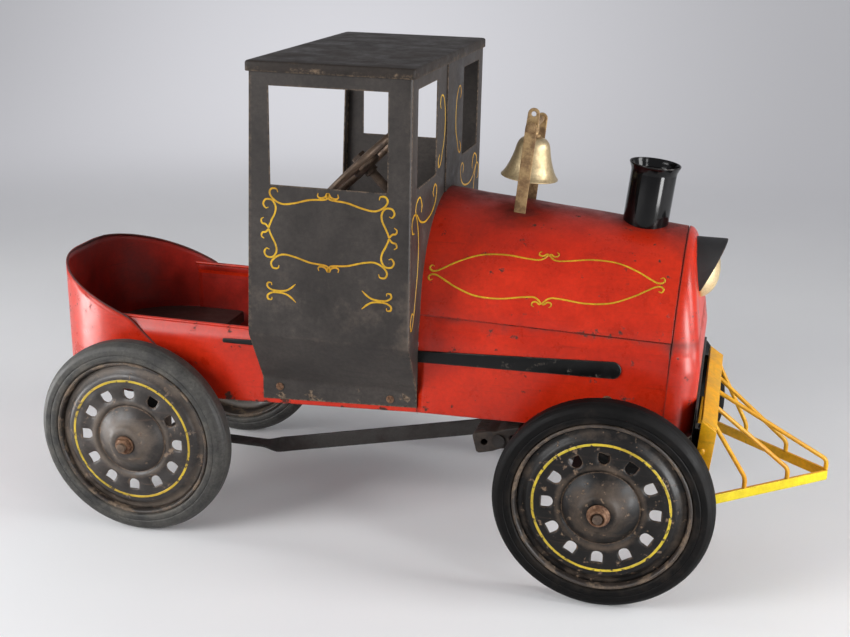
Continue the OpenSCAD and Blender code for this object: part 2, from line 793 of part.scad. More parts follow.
module tyre() {
    r = axle_z;
    rotate_extrude($fn = 128) polygon([
        [rim_r + seat_gap, -tyre_hw + 4], [rim_r + 2.8, -tyre_hw + 4], [rim_r + 4.5, -tyre_hw],
        [r - 10, -tyre_hw], [r - 4, -tyre_hw + 2.5], [r - 1, -tyre_hw + 7], [r, -tyre_hw + 12],
        [r, tyre_hw - 12], [r - 1, tyre_hw - 7], [r - 4, tyre_hw - 2.5], [r - 10, tyre_hw],
        [rim_r + 4.5, tyre_hw], [rim_r + 2.8, tyre_hw - 4], [rim_r + seat_gap, tyre_hw - 4]]);
}

// pressed disc with its rim and hub, outside face up
module disc() {
    t = 2.4;
    k = rim_r / 100;
    hole_r = 61 * k;
    hole_w = 13 * k;
    difference() {
        union() {
            rotate_extrude($fn = 128) polygon([
                [axle_r + 3.5, hub_top], [14 * k, hub_top], [20 * k, hub_top - 1], [30 * k, hub_top - 5],
                [39 * k, hub_top - 11.5], [44 * k, ring_z - 1.5], [47 * k, ring_z + 0.8],
                [52 * k, ring_z + 0.8], [56 * k, ring_z - 1.5], [70 * k, ring_z], [82 * k, ring_z],
                [92 * k, ring_z - 4], [rim_r - 0.5, ring_z - 4], [rim_r - 0.5, ring_z - 4 - t],
                [91 * k, ring_z - 4 - t], [81 * k, ring_z - t], [70 * k, ring_z - t],
                [57 * k, ring_z - 1.5 - t], [52 * k, ring_z + 0.8 - t], [46 * k, ring_z + 0.8 - t],
                [42 * k, ring_z - 1.5 - t], [37 * k, hub_top - 12.5 - t], [29 * k, hub_top - 5.5 - t],
                [19 * k, hub_top - 1 - t], [axle_r + 3.5, hub_top - t]]);
            rotate_extrude($fn = 128) polygon([
                [rim_r - 2.4, -ring_z], [rim_r + 2.4, -ring_z], [rim_r + 2.4, -tyre_hw + 4 - seat_gap],
                [rim_r, -tyre_hw + 4 - seat_gap], [rim_r, tyre_hw - 4 + seat_gap],
                [rim_r + 2.4, tyre_hw - 4 + seat_gap], [rim_r + 2.4, ring_z], [rim_r - 2.4, ring_z]]);
            translate([0, 0, hub_low]) cylinder(r = axle_r + 4.5, h = hub_top - hub_low);
        }
        translate([0, 0, hub_low - 1]) cylinder(r = axle_r + run_gap, h = hub_top - hub_low + 2);
        for (i = [0:wheel_holes - 1]) rotate([0, 0, i * 360 / wheel_holes]) {
            translate([hole_r, 0, 0]) cylinder(r = hole_w / 2, h = tyre_w);
            translate([hole_r, -hole_w / 2, 0]) cube([hole_w / 2 + 0.5, hole_w, tyre_w]);
        }
    }
}

module hub_nut() {
    translate([0, 0, hub_top + side_gap]) difference() {
        union() {
            cylinder(r = axle_r + 6.5, h = 2);
            cylinder(r = axle_r + 4.5, h = nut_h, $fn = 6);
        }
        translate([0, 0, -1]) cylinder(r = axle_r + run_gap, h = nut_h + 2);
    }
}

module front_disc(right) {
    placed(black) to_side(right) wheel_frame(wheelbase, front_mid) disc();
}

module front_tyre(right) {
    placed(rubber) to_side(right) wheel_frame(wheelbase, front_mid) tyre();
}

module front_nut(right) {
    placed(steel) to_side(right) wheel_frame(wheelbase, front_mid) hub_nut();
}

module rear_disc(right) {
    placed(black) to_side(right) wheel_frame(0, rear_mid) disc();
}

module rear_tyre(right) {
    placed(rubber) to_side(right) wheel_frame(0, rear_mid) tyre();
}

module rear_nuts() {
    placed(steel) both() wheel_frame(0, rear_mid) hub_nut();
}

// one throw of the bent axle, its pin at height up above the axle
module crank_throw(up) {
    for (y = [-web_off, web_off]) {
        translate([0, y, 0]) sphere(r = axle_r);
        translate([0, y, up]) sphere(r = axle_r);
        translate([0, y, min(up, 0)]) cylinder(r = axle_r, h = abs(up));
    }
    translate([0, 0, up]) bar_y(axle_r, -web_off, web_off);
}

module rear_axle() {
    placed(steel) translate([0, 0, axle_z]) {
        bar_y(axle_r, -crank_y + web_off, crank_y - web_off);
        both() bar_y(axle_r, crank_y + web_off, rear_mid + axle_out);
        both() bar_y(axle_r + 3, hanger_y + bush_len / 2 + side_gap, rear_mid + hub_low - side_gap);
        translate([0, crank_y, 0]) crank_throw(crank_r);
        translate([0, -crank_y, 0]) crank_throw(-crank_r);
    }
}

module rear_hangers() {
    top = low_z - axle_z - seat_gap;
    placed(black) both() translate([0, 0, axle_z]) difference() {
        union() {
            plate_y(hanger_y - 2, hanger_y + 2) {
                polygon([[-28, top], [28, top], [14, 0], [-14, 0]]);
                circle(r = 14);
            }
            translate([-28, hanger_y - 2, top - 3]) cube([56, half - hanger_y - 2, 3]);
        }
        bar_y(bush_r + seat_gap, hanger_y - 3, hanger_y + 3);
    }
}

module axle_bushes() {
    placed(steel) both() translate([0, hanger_y, axle_z]) difference() {
        union() {
            bar_y(bush_r, -bush_len / 2, bush_len / 2);
            bar_y(bush_r + 2, -5, -2 - seat_gap);
        }
        bar_y(axle_r + run_gap, -bush_len, bush_len);
    }
}

// drive strap: rolled eye, flat run, quarter twist, upright run to the pedal arm
module drive_strap() {
    half_twist = strap_twist / 2;
    run = (pedal_x - strap_bend) / cos(strap_slope);
    eye = axle_r + run_gap;
    difference() {
        union() {
            bar_y(eye + strap_t, -strap_w / 2, strap_w / 2);
            translate([0, -strap_w / 2, -strap_t / 2]) cube([strap_bend - half_twist, strap_w, strap_t]);
            translate([strap_bend - half_twist - 0.1, 0, 0]) rotate([90, 0, 90])
                linear_extrude(strap_twist + 0.2, twist = 90, slices = 12)
                    square([strap_w, strap_t], center = true);
            translate([strap_bend, 0, 0]) rotate([0, -strap_slope, 0]) {
                translate([half_twist - 4, -strap_t / 2, -strap_w / 2])
                    cube([run - half_twist + 4, strap_t, strap_w]);
                translate([run, 0, 0]) bar_y(strap_w / 2 + 2, -strap_t / 2, strap_t / 2);
            }
        }
        bar_y(eye, -strap_w, strap_w);
        translate([strap_bend, 0, 0]) rotate([0, -strap_slope, 0]) translate([run, 0, 0])
            bar_y(shaft_r + 0.2, -strap_t, strap_t);
    }
}

module drive_rod_right() {
    placed(steel) translate([0, -crank_y, axle_z - crank_r]) drive_strap();
}

module drive_rod_left() {
    placed(steel) translate([0, crank_y, axle_z + crank_r]) rotate([0, rod_turn, 0]) drive_strap();
}

module pedal_shaft() {
    end_y = half - (shaft_x - cab_front) * tan(taper) - 12;
    placed(steel) translate([shaft_x, 0, shaft_z]) {
        bar_y(shaft_r, -end_y, end_y);
        both() bar_y(shaft_r + 3, arm_y + strap_t / 2 + side_gap, arm_y + strap_t / 2 + 4);
        both() bar_y(shaft_r + 3, arm_y - strap_t / 2 - 4, arm_y - strap_t / 2 - side_gap);
    }
}

module shaft_bosses() {
    boss_y = half - (shaft_x - cab_front) * tan(taper) - 28;
    placed(steel) both() difference() {
        translate([shaft_x, 0, shaft_z]) bar_y(shaft_r + 4, boss_y, half + 10);
        translate([shaft_x, 0, shaft_z]) bar_y(shaft_r + seat_gap, boss_y - 1, boss_y + 17);
        panel_frame() translate([-50, -sheet - seat_gap, bottom_z])
            cube([hood_len, half, crease_z - bottom_z]);
    }
}

module pedal_arm(right) {
    lean = atan2(shaft_x - pedal_x, shaft_z - pedal_z);
    arm_w = 18;
    y0 = arm_y - strap_t / 2;
    y1 = arm_y + strap_t / 2;
    placed(steel) to_side(right) translate([shaft_x, 0, shaft_z]) rotate([0, lean, 0]) difference() {
        union() {
            bar_y(arm_w / 2 + 2, y0, y1);
            translate([-arm_w / 2, y0, -pedal_arm]) cube([arm_w, strap_t, pedal_arm]);
            translate([0, 0, -pedal_arm]) {
                bar_y(arm_w / 2, y0, y1);
                bar_y(shaft_r, y0, block_y + pedal_len + side_gap + 1);
                bar_y(shaft_r + 3, block_y + pedal_len + side_gap, block_y + pedal_len + 3);
            }
        }
        bar_y(shaft_r + run_gap, y0 - 1, y1 + 1);
    }
}

module pedal_block(right) {
    block_w = 31;
    block_h = 13;
    placed(rubber) to_side(right) translate([pedal_x, 0, pedal_z]) rotate([0, -15, 0]) difference() {
        plate_y(block_y, block_y + pedal_len) polygon([
            [-block_w, -block_h + 2], [-block_w + 3, -block_h], [-10, -block_h], [0, -block_h + 2],
            [10, -block_h], [block_w - 3, -block_h], [block_w, -block_h + 2], [block_w, block_h - 2],
            [block_w - 3, block_h], [10, block_h], [0, block_h - 2], [-10, block_h],
            [-block_w + 3, block_h], [-block_w, block_h - 2]]);
        bar_y(shaft_r + run_gap, block_y - 1, block_y + pedal_len + 1);
        for (x = [-18, 18]) translate([x, 0, 0]) bar_y(4, block_y - 1, block_y + pedal_len + 1);
    }
}

hood_shell();
nose_shell();
body_side(true);  // body_side_right
body_side(false);  // body_side_left
seat_back();
seat_pan();
cab_half(true);  // cab_half_right
cab_half(false);  // cab_half_left
cab_roof();
cab_screws();
dash_panel();
column_bush();
smokestack();
headlamp();
lamp_visor();
bell_bracket();
bell();
bell_yoke();
bell_clapper();
pilot_beam();
pilot_leg(true);  // pilot_leg_right
pilot_leg(false);  // pilot_leg_left
pilot_rail(true);  // pilot_rail_right
pilot_rail(false);  // pilot_rail_left
pilot_bars();
pilot_bracket();
pilot_rivets();
front_axle_beam();
front_hangers();
column_bearing();
knuckle(true);  // knuckle_right
knuckle(false);  // knuckle_left
tie_rod();
steering_wheel();
steering_column();
front_disc(true);  // front_disc_right
front_disc(false);  // front_disc_left
front_tyre(true);  // front_tyre_right
front_tyre(false);  // front_tyre_left
front_nut(true);  // front_nut_right
front_nut(false);  // front_nut_left
rear_axle();
rear_disc(true);  // rear_disc_right
rear_disc(false);  // rear_disc_left
rear_tyre(true);  // rear_tyre_right
rear_tyre(false);  // rear_tyre_left
rear_nuts();
rear_hangers();
axle_bushes();
drive_rod_right();
drive_rod_left();
pedal_shaft();
shaft_bosses();
pedal_arm(true);  // pedal_arm_right
pedal_arm(false);  // pedal_arm_left
pedal_block(true);  // pedal_block_right
pedal_block(false);  // pedal_block_left
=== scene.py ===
import bpy
import bmesh
from functools import partial
from math import atan2, cos, exp, hypot, pi, radians, sin, sqrt, tan
from mathutils import Matrix, Vector


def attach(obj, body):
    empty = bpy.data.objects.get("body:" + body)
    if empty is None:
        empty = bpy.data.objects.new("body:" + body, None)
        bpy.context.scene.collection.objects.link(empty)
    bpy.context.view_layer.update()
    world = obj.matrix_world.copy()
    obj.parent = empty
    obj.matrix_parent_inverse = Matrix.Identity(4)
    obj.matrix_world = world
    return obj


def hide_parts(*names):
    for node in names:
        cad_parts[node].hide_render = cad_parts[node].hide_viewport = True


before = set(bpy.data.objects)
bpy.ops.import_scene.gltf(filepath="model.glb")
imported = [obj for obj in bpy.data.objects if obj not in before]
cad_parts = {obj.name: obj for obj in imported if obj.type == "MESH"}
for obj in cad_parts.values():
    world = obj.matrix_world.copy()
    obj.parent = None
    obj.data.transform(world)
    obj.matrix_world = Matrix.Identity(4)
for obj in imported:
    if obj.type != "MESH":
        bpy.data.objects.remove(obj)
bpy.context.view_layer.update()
scene = bpy.context.scene
scene.view_settings.view_transform = "Standard"

# lengths are millimetres, X from the rear axle, until spot() turns them into the row frame
midX = 349.5
wheelbase = 590.0
axleZ = 127.0
halfBody = 134.0
cabFront = 358.0
taper = radians(3)  # the body sides draw in towards the nose
sheet = 1.5
hood = {"start": 343.0, "end": 650.0, "axisZ": 313.0, "drop": 11.0, "rear": 127.0, "front": 110.0}
hoodLong = hood["end"] - hood["start"]
hoodRun = hypot(hoodLong, hood["drop"])
hoodTilt = atan2(hood["drop"], hoodLong)
crownTilt = hoodTilt + atan2(hood["rear"] - hood["front"], hoodRun)
foldZ = hood["axisZ"] - (cabFront - hood["start"]) * tan(hoodTilt)
hands = (("right", -1), ("left", 1))


def spot(p):
    return Vector(((p[0] - midX) / 1000, p[1] / 1000, p[2] / 1000))


def linear(hexColour):
    parts = [int(hexColour[i:i + 2], 16) / 255 for i in (1, 3, 5)]
    parts = [c / 12.92 if c <= 0.04045 else ((c + 0.055) / 1.055) ** 2.4 for c in parts]
    return (*parts, 1.0)


# adds a node, sets it, fills or links its inputs, by name or in their order, and gives back one of its outputs
def addNode(tree, kind, inputs=(), out=0, stops=(), **settings):
    node = tree.nodes.new("ShaderNode" + kind)
    for key, value in settings.items():
        setattr(node, key, value)
    for key, value in inputs.items() if isinstance(inputs, dict) else enumerate(inputs):
        if isinstance(value, bpy.types.NodeSocket):
            tree.links.new(value, node.inputs[key])
        else:
            node.inputs[key].default_value = value
    if stops:
        ramp = node.color_ramp.elements
        while len(ramp) < len(stops):
            ramp.new(1)
        for element, (place, colour) in zip(ramp, stops):
            element.position = place
            element.color = linear(colour) if isinstance(colour, str) else (colour, colour, colour, 1)
    return node.outputs[out] if node.outputs else node


blend = {"out": 2, "data_type": "RGBA"}
darken = {**blend, "blend_type": "MULTIPLY"}


# a material with its noises, each given as size in mm, detail and roughness
def newMaterial(name, *noises):
    material = bpy.data.materials.new(name)
    material.use_nodes = True
    tree = material.node_tree
    tree.nodes.clear()
    add = partial(addNode, tree)
    where = add("TexCoord", out="Object")
    fields = [add("TexNoise", {"Vector": where, "Scale": 1000 / size, "Detail": detail, "Roughness": rough})
              for size, detail, rough in noises]
    return material, add, where, fields


# paint over pressed steel: two close tones, clouding and speckle, scuffs, soot and painted shade where a piece
# is soiled or shaded, chips and worn edges; rustTop is the height rust fills, the height it reaches and how much it
# takes
def paintedSteel(name, tone, faded, under, gloss=0.3, chips=0.7, wear=0.35, edge=2.0, streak=0.5, rustTop=None,
                 coat=0.0, grime=0.35, speck=0.15, bare="#6b4a33", dirtAndShade="#241a16", sootyShade=0.85, shiny=0.5,
                 flakeSize=22):
    material, add, where, (broad, cloud, grit, flake, wave) = newMaterial(
        name, (110, 4, 0.6), (34, 9, 0.7), (4.5, 5, 0.7), (flakeSize, 9, 0.66), (22, 2, 0.5))
    soilAndShade = add("Attribute", out="Fac", attribute_name="soilAndShade")
    drawn = add("Mapping", {"Vector": where, "Scale": (1 / 0.09, 1 / 0.09, 1 / 0.006)})
    scuff = add("TexNoise", {"Vector": drawn, "Scale": 1.0, "Detail": 5.0, "Roughness": 0.7})
    colour = add("ValToRGB", [broad], stops=[(0.34, faded), (0.62, tone)])
    for noise, depth, low, high in ((cloud, grime, 0.32, 0.6), (grit, speck, 0.34, 0.62)):
        shade = add("ValToRGB", [noise], stops=[(low, 1.0 - depth), (high, 1.0)])
        colour = add("Mix", {"Factor": 1.0, "A": colour, "B": shade}, **darken)
    scuffs = add("ValToRGB", [scuff], stops=[(0.58, 0.0), (0.74, streak)])
    colour = add("Mix", {"Factor": scuffs, "A": colour, "B": linear(under)}, **blend)
    # a per-point amount mixes in soot or dust and, on some pieces, painted shade
    sootAndShade = add("Math", [cloud, soilAndShade], operation="ADD")
    sootAndShade = add("MapRange", [sootAndShade, 0.62, 1.05, 0, sootyShade])
    colour = add("Mix", {"Factor": sootAndShade, "A": colour, "B": linear(dirtAndShade)}, **blend)
    # worn edges: the paint's normal against one rounded over a few millimetres
    soft = add("Bevel", {"Radius": edge / 1000}, samples=4)
    flat = add("NewGeometry", out="Normal")
    bend = add("VectorMath", [soft, flat], "Value", operation="DOT_PRODUCT")
    worn = add("MapRange", [bend, 0.995, 0.86, 0, wear])
    total = add("Math", [flake, worn], operation="ADD")
    if rustTop:
        height = add("SeparateXYZ", [where], "Z")
        low = add("MapRange", [height, rustTop[1] / 1000, rustTop[0] / 1000, 0, rustTop[2]])
        total = add("Math", [total, low], operation="ADD")
    chip = add("ValToRGB", [total], stops=[(chips, 0.0), (min(chips + 0.05, 1.0), 1.0)])
    steel = add("ValToRGB", [grit], stops=[(0.38, under), (0.64, bare)])
    colour = add("Mix", {"Factor": chip, "A": colour, "B": steel}, **blend)
    shine = add("MapRange", [cloud, 0.3, 0.7, gloss * 0.75, gloss * 1.4])
    dull = add("Math", [chip, sootAndShade], operation="MAXIMUM")
    shine = add("Mix", {"Factor": dull, "A": shine, "B": 0.75}, data_type="FLOAT")
    relief = add("Math", [wave, 0.15], operation="MULTIPLY")
    relief = add("Math", [relief, chip], operation="SUBTRACT")
    bump = add("Bump", {"Height": relief, "Strength": 0.35, "Distance": 0.0004})
    shader = add("BsdfPrincipled", {"Base Color": colour, "Roughness": shine, "Normal": bump, "Coat Weight": coat,
                                    "Coat Roughness": 0.12, "Specular IOR Level": shiny})
    add("OutputMaterial", [shader])
    return material


# bare metal: brushed or cast, tarnished in patches of some millimetres
def bareMetal(name, tone, tarnish, rough=0.35, metallic=1.0, patch=18, amount=(0.42, 0.6), bump=0.25):
    material, add, where, (spots, fine) = newMaterial(name, (patch, 8, 0.68), (2.4, 4, 0.5))
    mask = add("ValToRGB", [spots], stops=[(amount[0], 0.0), (amount[1], 1.0)])
    tint = add("ValToRGB", [mask], stops=[(0.0, tone), (1.0, tarnish)])
    shade = add("ValToRGB", [fine], stops=[(0.3, 0.8), (0.65, 1.0)])
    colour = add("Mix", {"Factor": 1.0, "A": tint, "B": shade}, **darken)
    shine = add("MapRange", [mask, 0, 1, rough, min(rough + 0.3, 0.9)])
    metal = add("MapRange", [mask, 0, 1, metallic, metallic * 0.45])
    relief = add("Math", [fine, mask], operation="ADD")
    lumps = add("Bump", {"Height": relief, "Strength": bump, "Distance": 0.0003})
    shader = add("BsdfPrincipled", {"Base Color": colour, "Roughness": shine, "Metallic": metal, "Normal": lumps})
    add("OutputMaterial", [shader])
    return material


# moulded rubber: dull, with paler scuffs where it has rubbed and brown dust against the rim
def mouldedRubber(name, tone, dusty, dust, patch=30, amount=(0.45, 0.72), shiny=0.3):
    material, add, where, (rub, grit) = newMaterial(name, (patch, 9, 0.72), (3.5, 5, 0.7))
    soilAndShade = add("Attribute", out="Fac", attribute_name="soilAndShade")
    tint = add("ValToRGB", [rub], stops=[(amount[0], tone), (amount[1], dusty)])
    shade = add("ValToRGB", [grit], stops=[(0.34, 0.6), (0.64, 1.0)])
    colour = add("Mix", {"Factor": 1.0, "A": tint, "B": shade}, **darken)
    film = add("Math", [rub, soilAndShade], operation="ADD")
    film = add("MapRange", [film, 0.62, 1.1, 0, 0.8])
    colour = add("Mix", {"Factor": film, "A": colour, "B": linear(dust)}, **blend)
    shine = add("MapRange", [rub, 0.3, 0.7, 0.42, 0.75])
    lumps = add("Bump", {"Height": grit, "Strength": 0.3, "Distance": 0.0004})
    shader = add("BsdfPrincipled", {"Base Color": colour, "Roughness": shine, "Normal": lumps,
                                    "Specular IOR Level": shiny})
    add("OutputMaterial", [shader])
    return material


satin = {"wear": 0.36, "edge": 3.0, "bare": "#8a7560", "grime": 0.34, "speck": 0.3, "dirtAndShade": "#6b5e53"}
brushed = {"gloss": 0.36, "wear": 0.26, "bare": "#6b4a22", "dirtAndShade": "#7a4a10", "shiny": 0.3, "flakeSize": 12}
rolled = {"gloss": 0.42, "chips": 0.6, "wear": 0.25, "edge": 3.0, "streak": 0.6, "grime": 0.5, "sootyShade": 0.8}
finish = {
    # sprayed enamel on pressed steel: wet orange-red, chipped dark at edges and the lower fold;
    # darker along the crown and in the creases, partly soot and partly painted shade
    "redEnamel": paintedSteel("redEnamelOnSteel", "#db3010", "#c9270d", "#4a1a10", chips=0.625,
                              rustTop=(186, 202, 0.08), coat=0.06, streak=0.3, wear=0.3, grime=0.24, speck=0.14,
                              bare="#3f2c22", dirtAndShade="#33130d", sootyShade=0.8, shiny=0.3, flakeSize=15),
    # a darker copy of the same enamel for inside the tub: painted shade
    "innerRedShaded": paintedSteel("innerRedEnamelShaded", "#bf2413", "#9c1d10", "#2a100c", gloss=0.4, chips=0.72, wear=0.0,
                             grime=0.4),
    # brown-red paint on the seat, rubbed dark
    "seatPaint": paintedSteel("wornSeatPaint", "#4d352e", "#392620", "#191210", gloss=0.45, grime=0.4,
                              bare="#5a463a"),
    # satin black gone charcoal, clouded and rubbed brown along the folds
    "cabEnamel": paintedSteel("satinCabEnamel", "#453f3b", "#332e2b", "#1f1b19", gloss=0.5, rustTop=(196, 232, 0.14),
                              sootyShade=0.75, shiny=0.3, **satin),
    # the same satin black, darker and browner on the roof: painted shade on its top
    "roofEnamelShaded": paintedSteel("satinRoofEnamelShaded", "#37302b", "#29231f", "#1f1b19", gloss=0.55, sootyShade=0.6, shiny=0.22,
                               **satin),
    # wet-looking black with a few pinholes
    "blackEnamel": paintedSteel("glossBlackEnamel", "#0a0a0b", "#070708", "#2c2724", gloss=0.11, chips=0.71,
                                grime=0.3, streak=0.15, bare="#5c554d", shiny=0.24, flakeSize=12),
    # the same black on the side moulding, dulled and scratched by hands
    "spearBlack": paintedSteel("rubbedBlackEnamel", "#0c0c0d", "#080808", "#2c2724", gloss=0.34, chips=0.6, grime=0.4,
                               streak=0.25, speck=0.3, bare="#5c544c", shiny=0.25, flakeSize=14),
    # dead-flat black on the visor
    "mattBlack": paintedSteel("mattBlackEnamel", "#121112", "#0d0c0d", "#2b2623", gloss=0.62, chips=0.72, grime=0.25,
                              streak=0.2),
    # thick brushed yellow, browner where dirt sits
    "yellowEnamel": paintedSteel("yellowEnamelOnIron", "#ffbd0c", "#f6aa05", "#8a5a12", streak=0.35, grime=0.3,
                                 **brushed),
    # a paler lemon copy of the yellow on the rails' outer faces: painted light on their lit side
    "lemonLitEnamel": paintedSteel("lemonLitEnamelOnIron", "#fde61c", "#f4d910", "#8a5a12", chips=0.72, streak=0.25,
                                grime=0.2, **brushed),
    # signwriter's lining enamel, thin enough to break up
    "liningYellow": paintedSteel("liningEnamel", "#efc02c", "#d49a20", "#8a6a2a", gloss=0.4, chips=0.74, wear=0.0,
                                 edge=0.4, streak=0.4, grime=0.4, speck=0.3, shiny=0.3, flakeSize=9, bare="#6b4a22"),
    # the same on the wheels, worn through in places
    "wheelLine": paintedSteel("wheelLining", "#ecd034", "#d6b02a", "#4a3a22", gloss=0.36, chips=0.555, wear=0.0,
                              edge=0.4, streak=0.2, grime=0.45, bare="#2a2420", flakeSize=7),
    # wheel paint worn through to brown on high spots and edges, dusty in the hollows; paler hub crest partly as
    # painted sheen
    "wheelEnamel": paintedSteel("wheelEnamelOnSteel", "#171311", "#0d0b0a", "#4a3a2e", speck=0.4, bare="#806a56",
                                dirtAndShade="#6a5a4c", shiny=0.27, flakeSize=9, **rolled),
    # the rear pair: the same paint weathered paler and browner
    "paleWheel": paintedSteel("weatheredWheelEnamel", "#4a4039", "#2f2824", "#5c4a3d", speck=0.45, bare="#8c7763",
                              dirtAndShade="#75675a", flakeSize=14, **rolled),
    # the rims, mostly rubbed bare by the tyres
    "rimSteel": paintedSteel("wornRimPaint", "#3a302a", "#2a2420", "#57483b", gloss=0.46, chips=0.52, grime=0.4,
                             bare="#7d6a56"),
    # rolled steel left brown by damp hands, and a darker, oiled one
    "brownSteel": bareMetal("brownedSteel", "#74604f", "#493a30", rough=0.5, metallic=0.45, patch=30),
    "darkSteel": bareMetal("darkOiledSteel", "#3d3a38", "#2c2522", rough=0.48, metallic=0.7, patch=40),
    # nuts and screws: orange rust over grey
    "rustySteel": bareMetal("rustySteel", "#86644a", "#5b3a24", rough=0.62, metallic=0.35, patch=6, amount=(0.4, 0.6),
                            bump=0.6),
    # cast brass dulled to brown, a pale spun brass, and brass strap gone brown
    "castBrass": bareMetal("castBrass", "#d8c49c", "#8a7552", rough=0.34, patch=30, amount=(0.40, 0.72)),
    "paleBrass": bareMetal("spunPaleBrass", "#f6e0b4", "#d9ba80", rough=0.34, patch=30, amount=(0.5, 0.8)),
    "bracketBrass": bareMetal("brownedBrassStrap", "#b0946a", "#7d6040", rough=0.45, metallic=0.75, patch=14),
    # near-black front tyres, older grey rear ones, and brown-black pedal rubber
    "tyreRubber": mouldedRubber("tyreRubberBlack", "#080707", "#151211", "#3a322b", shiny=0.12),
    "oldRubber": mouldedRubber("tyreRubberGrey", "#353433", "#5a5853", "#6a6258", amount=(0.36, 0.66)),
    "pedalRubber": mouldedRubber("pedalRubber", "#2e2723", "#4a3f36", "#4a3f36", patch=12),
}
print("finishes", len(finish))


heart = Vector((0, 0, 0.25))


# mesh from millimetre points; thick adds sheet thickness, bevel rounds edges, a per-point amount adds dirt or painted
# shade
def makePiece(name, shape, skin, slot, nodes=(), body="chassis", thick=0, offset=-1, bevel=0, sharp=32, even=True,
              soilAndShade=None):
    mesh = bpy.data.meshes.new(name)
    mesh.from_pydata([spot(p) for p in shape[0]], [], shape[1])
    build = bmesh.new()
    build.from_mesh(mesh)
    bmesh.ops.remove_doubles(build, verts=build.verts, dist=1e-6)
    bmesh.ops.recalc_face_normals(build, faces=build.faces)
    if thick:  # sheets face away from the middle of the car, so that they thicken inwards
        facing = sum(f.calc_area() * f.normal.dot(f.calc_center_median() - heart) for f in build.faces)
        if facing < 0:
            bmesh.ops.reverse_faces(build, faces=build.faces)
    build.to_mesh(mesh)
    build.free()
    mesh.validate()
    mesh.materials.append(finish[skin])
    mesh.polygons.foreach_set("use_smooth", [True] * len(mesh.polygons))
    mesh.set_sharp_from_angle(angle=radians(sharp))
    if soilAndShade:
        amounts = [soilAndShade(Vector((v.co.x * 1000 + midX, v.co.y * 1000, v.co.z * 1000))) for v in mesh.vertices]
        mesh.attributes.new("soilAndShade", "FLOAT", "POINT").data.foreach_set("value", amounts)
    piece = bpy.data.objects.new(name, mesh)
    scene.collection.objects.link(piece)
    if thick:
        solid = piece.modifiers.new("sheet", "SOLIDIFY")
        solid.thickness = thick / 1000
        solid.offset = offset
        solid.use_even_offset = even
    if bevel:
        softEdge(piece, bevel)
        piece.modifiers["evenLight"].keep_sharp = True
    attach(piece, body)
    if nodes:
        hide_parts(*nodes)
    return piece


def softEdge(piece, width):
    soft = piece.modifiers.new("softEdge", "BEVEL")
    soft.width, soft.segments = width / 1000, 2
    soft.limit_method, soft.angle_limit = "ANGLE", radians(40)
    piece.modifiers.new("evenLight", "WEIGHTED_NORMAL")


# rows of points joined into a skin
def loft(rows, closed=False, capped=False):
    wide = len(rows[0])
    points = [p for row in rows for p in row]
    faces = []
    for i in range(len(rows) - 1):
        for j in range(wide if closed else wide - 1):
            k = (j + 1) % wide
            faces.append((i * wide + j, i * wide + k, (i + 1) * wide + k, (i + 1) * wide + j))
    if capped:
        faces.append(tuple(range(wide)))
        faces.append(tuple(range(len(points) - wide, len(points))))
    return points, faces


def merge(*shapes):
    points, faces = [], []
    for some, more in shapes:
        faces += [tuple(i + len(points) for i in face) for face in more]
        points += some
    return points, faces


def polar(r, angle):
    return r * cos(angle), r * sin(angle)


def arc(cx, cy, r, start, end, steps):
    turned = [polar(r, radians(start + (end - start) * i / steps)) for i in range(steps + 1)]
    return [(cx + x, cy + y) for x, y in turned]


def clamp(value):
    return min(max(value, 0), 1)


# height along a bent line of (place, height) knots
def follow(knots, x):
    for (xa, za), (xb, zb) in zip(knots, knots[1:]):
        if x <= xb:
            return za + (zb - za) * max(0, (x - xa) / (xb - xa))
    return knots[-1][1]


# how much is left of something at a distance: in a soft band, or fading away from a line
def band(distance, width):
    return exp(-(distance / width) ** 2)


def fade(distance, width):
    return exp(-distance / width)


# rounds the corners of a flat path; a radius per corner or one for all
def rounded(path, radius, steps=4, closed=True):
    out = []
    count = len(path)
    for i in range(count):
        if not closed and i in (0, count - 1):
            out.append(Vector(path[i]))
            continue
        a, b, c = Vector(path[i - 1]), Vector(path[i]), Vector(path[(i + 1) % count])
        r = radius[i] if isinstance(radius, (list, tuple)) else radius
        r = min(r, (a - b).length * 0.49, (c - b).length * 0.49)
        if r <= 0:
            out.append(b)
            continue
        start, end = b + (a - b).normalized() * r, b + (c - b).normalized() * r
        for k in range(steps + 1):
            t = k / steps
            out.append(start * (1 - t) ** 2 + b * 2 * t * (1 - t) + end * t ** 2)
    return out


# a flat profile of (radius, height) spun round a place's own Z; ring rounds a closed profile first
def spin(profile, place, turns=96, closed=True):
    profile = [Vector(p) for p in profile]
    return loft([[place @ Vector((*polar(p[0], 2 * pi * i / turns), p[1])) for p in profile]
                 for i in range(turns + 1)], closed=closed)


def ring(path, place, radius, turns=128, steps=4):
    return spin(rounded(path, radius, steps=steps), place, turns=turns)


# a plain collar from an inner to an outer radius, between two heights
def collar(inner, outer, low, high, place, radius, turns):
    return ring([(inner, low), (outer, low), (outer, high), (inner, high)], place, radius, turns)


# a six-sided stack of (height, radius) levels
def hexStack(levels, place, capped=False):
    return loft([[place @ Vector((*polar(r, pi * k / 3), z)) for k in range(6)] for z, r in levels],
                closed=True, capped=capped)


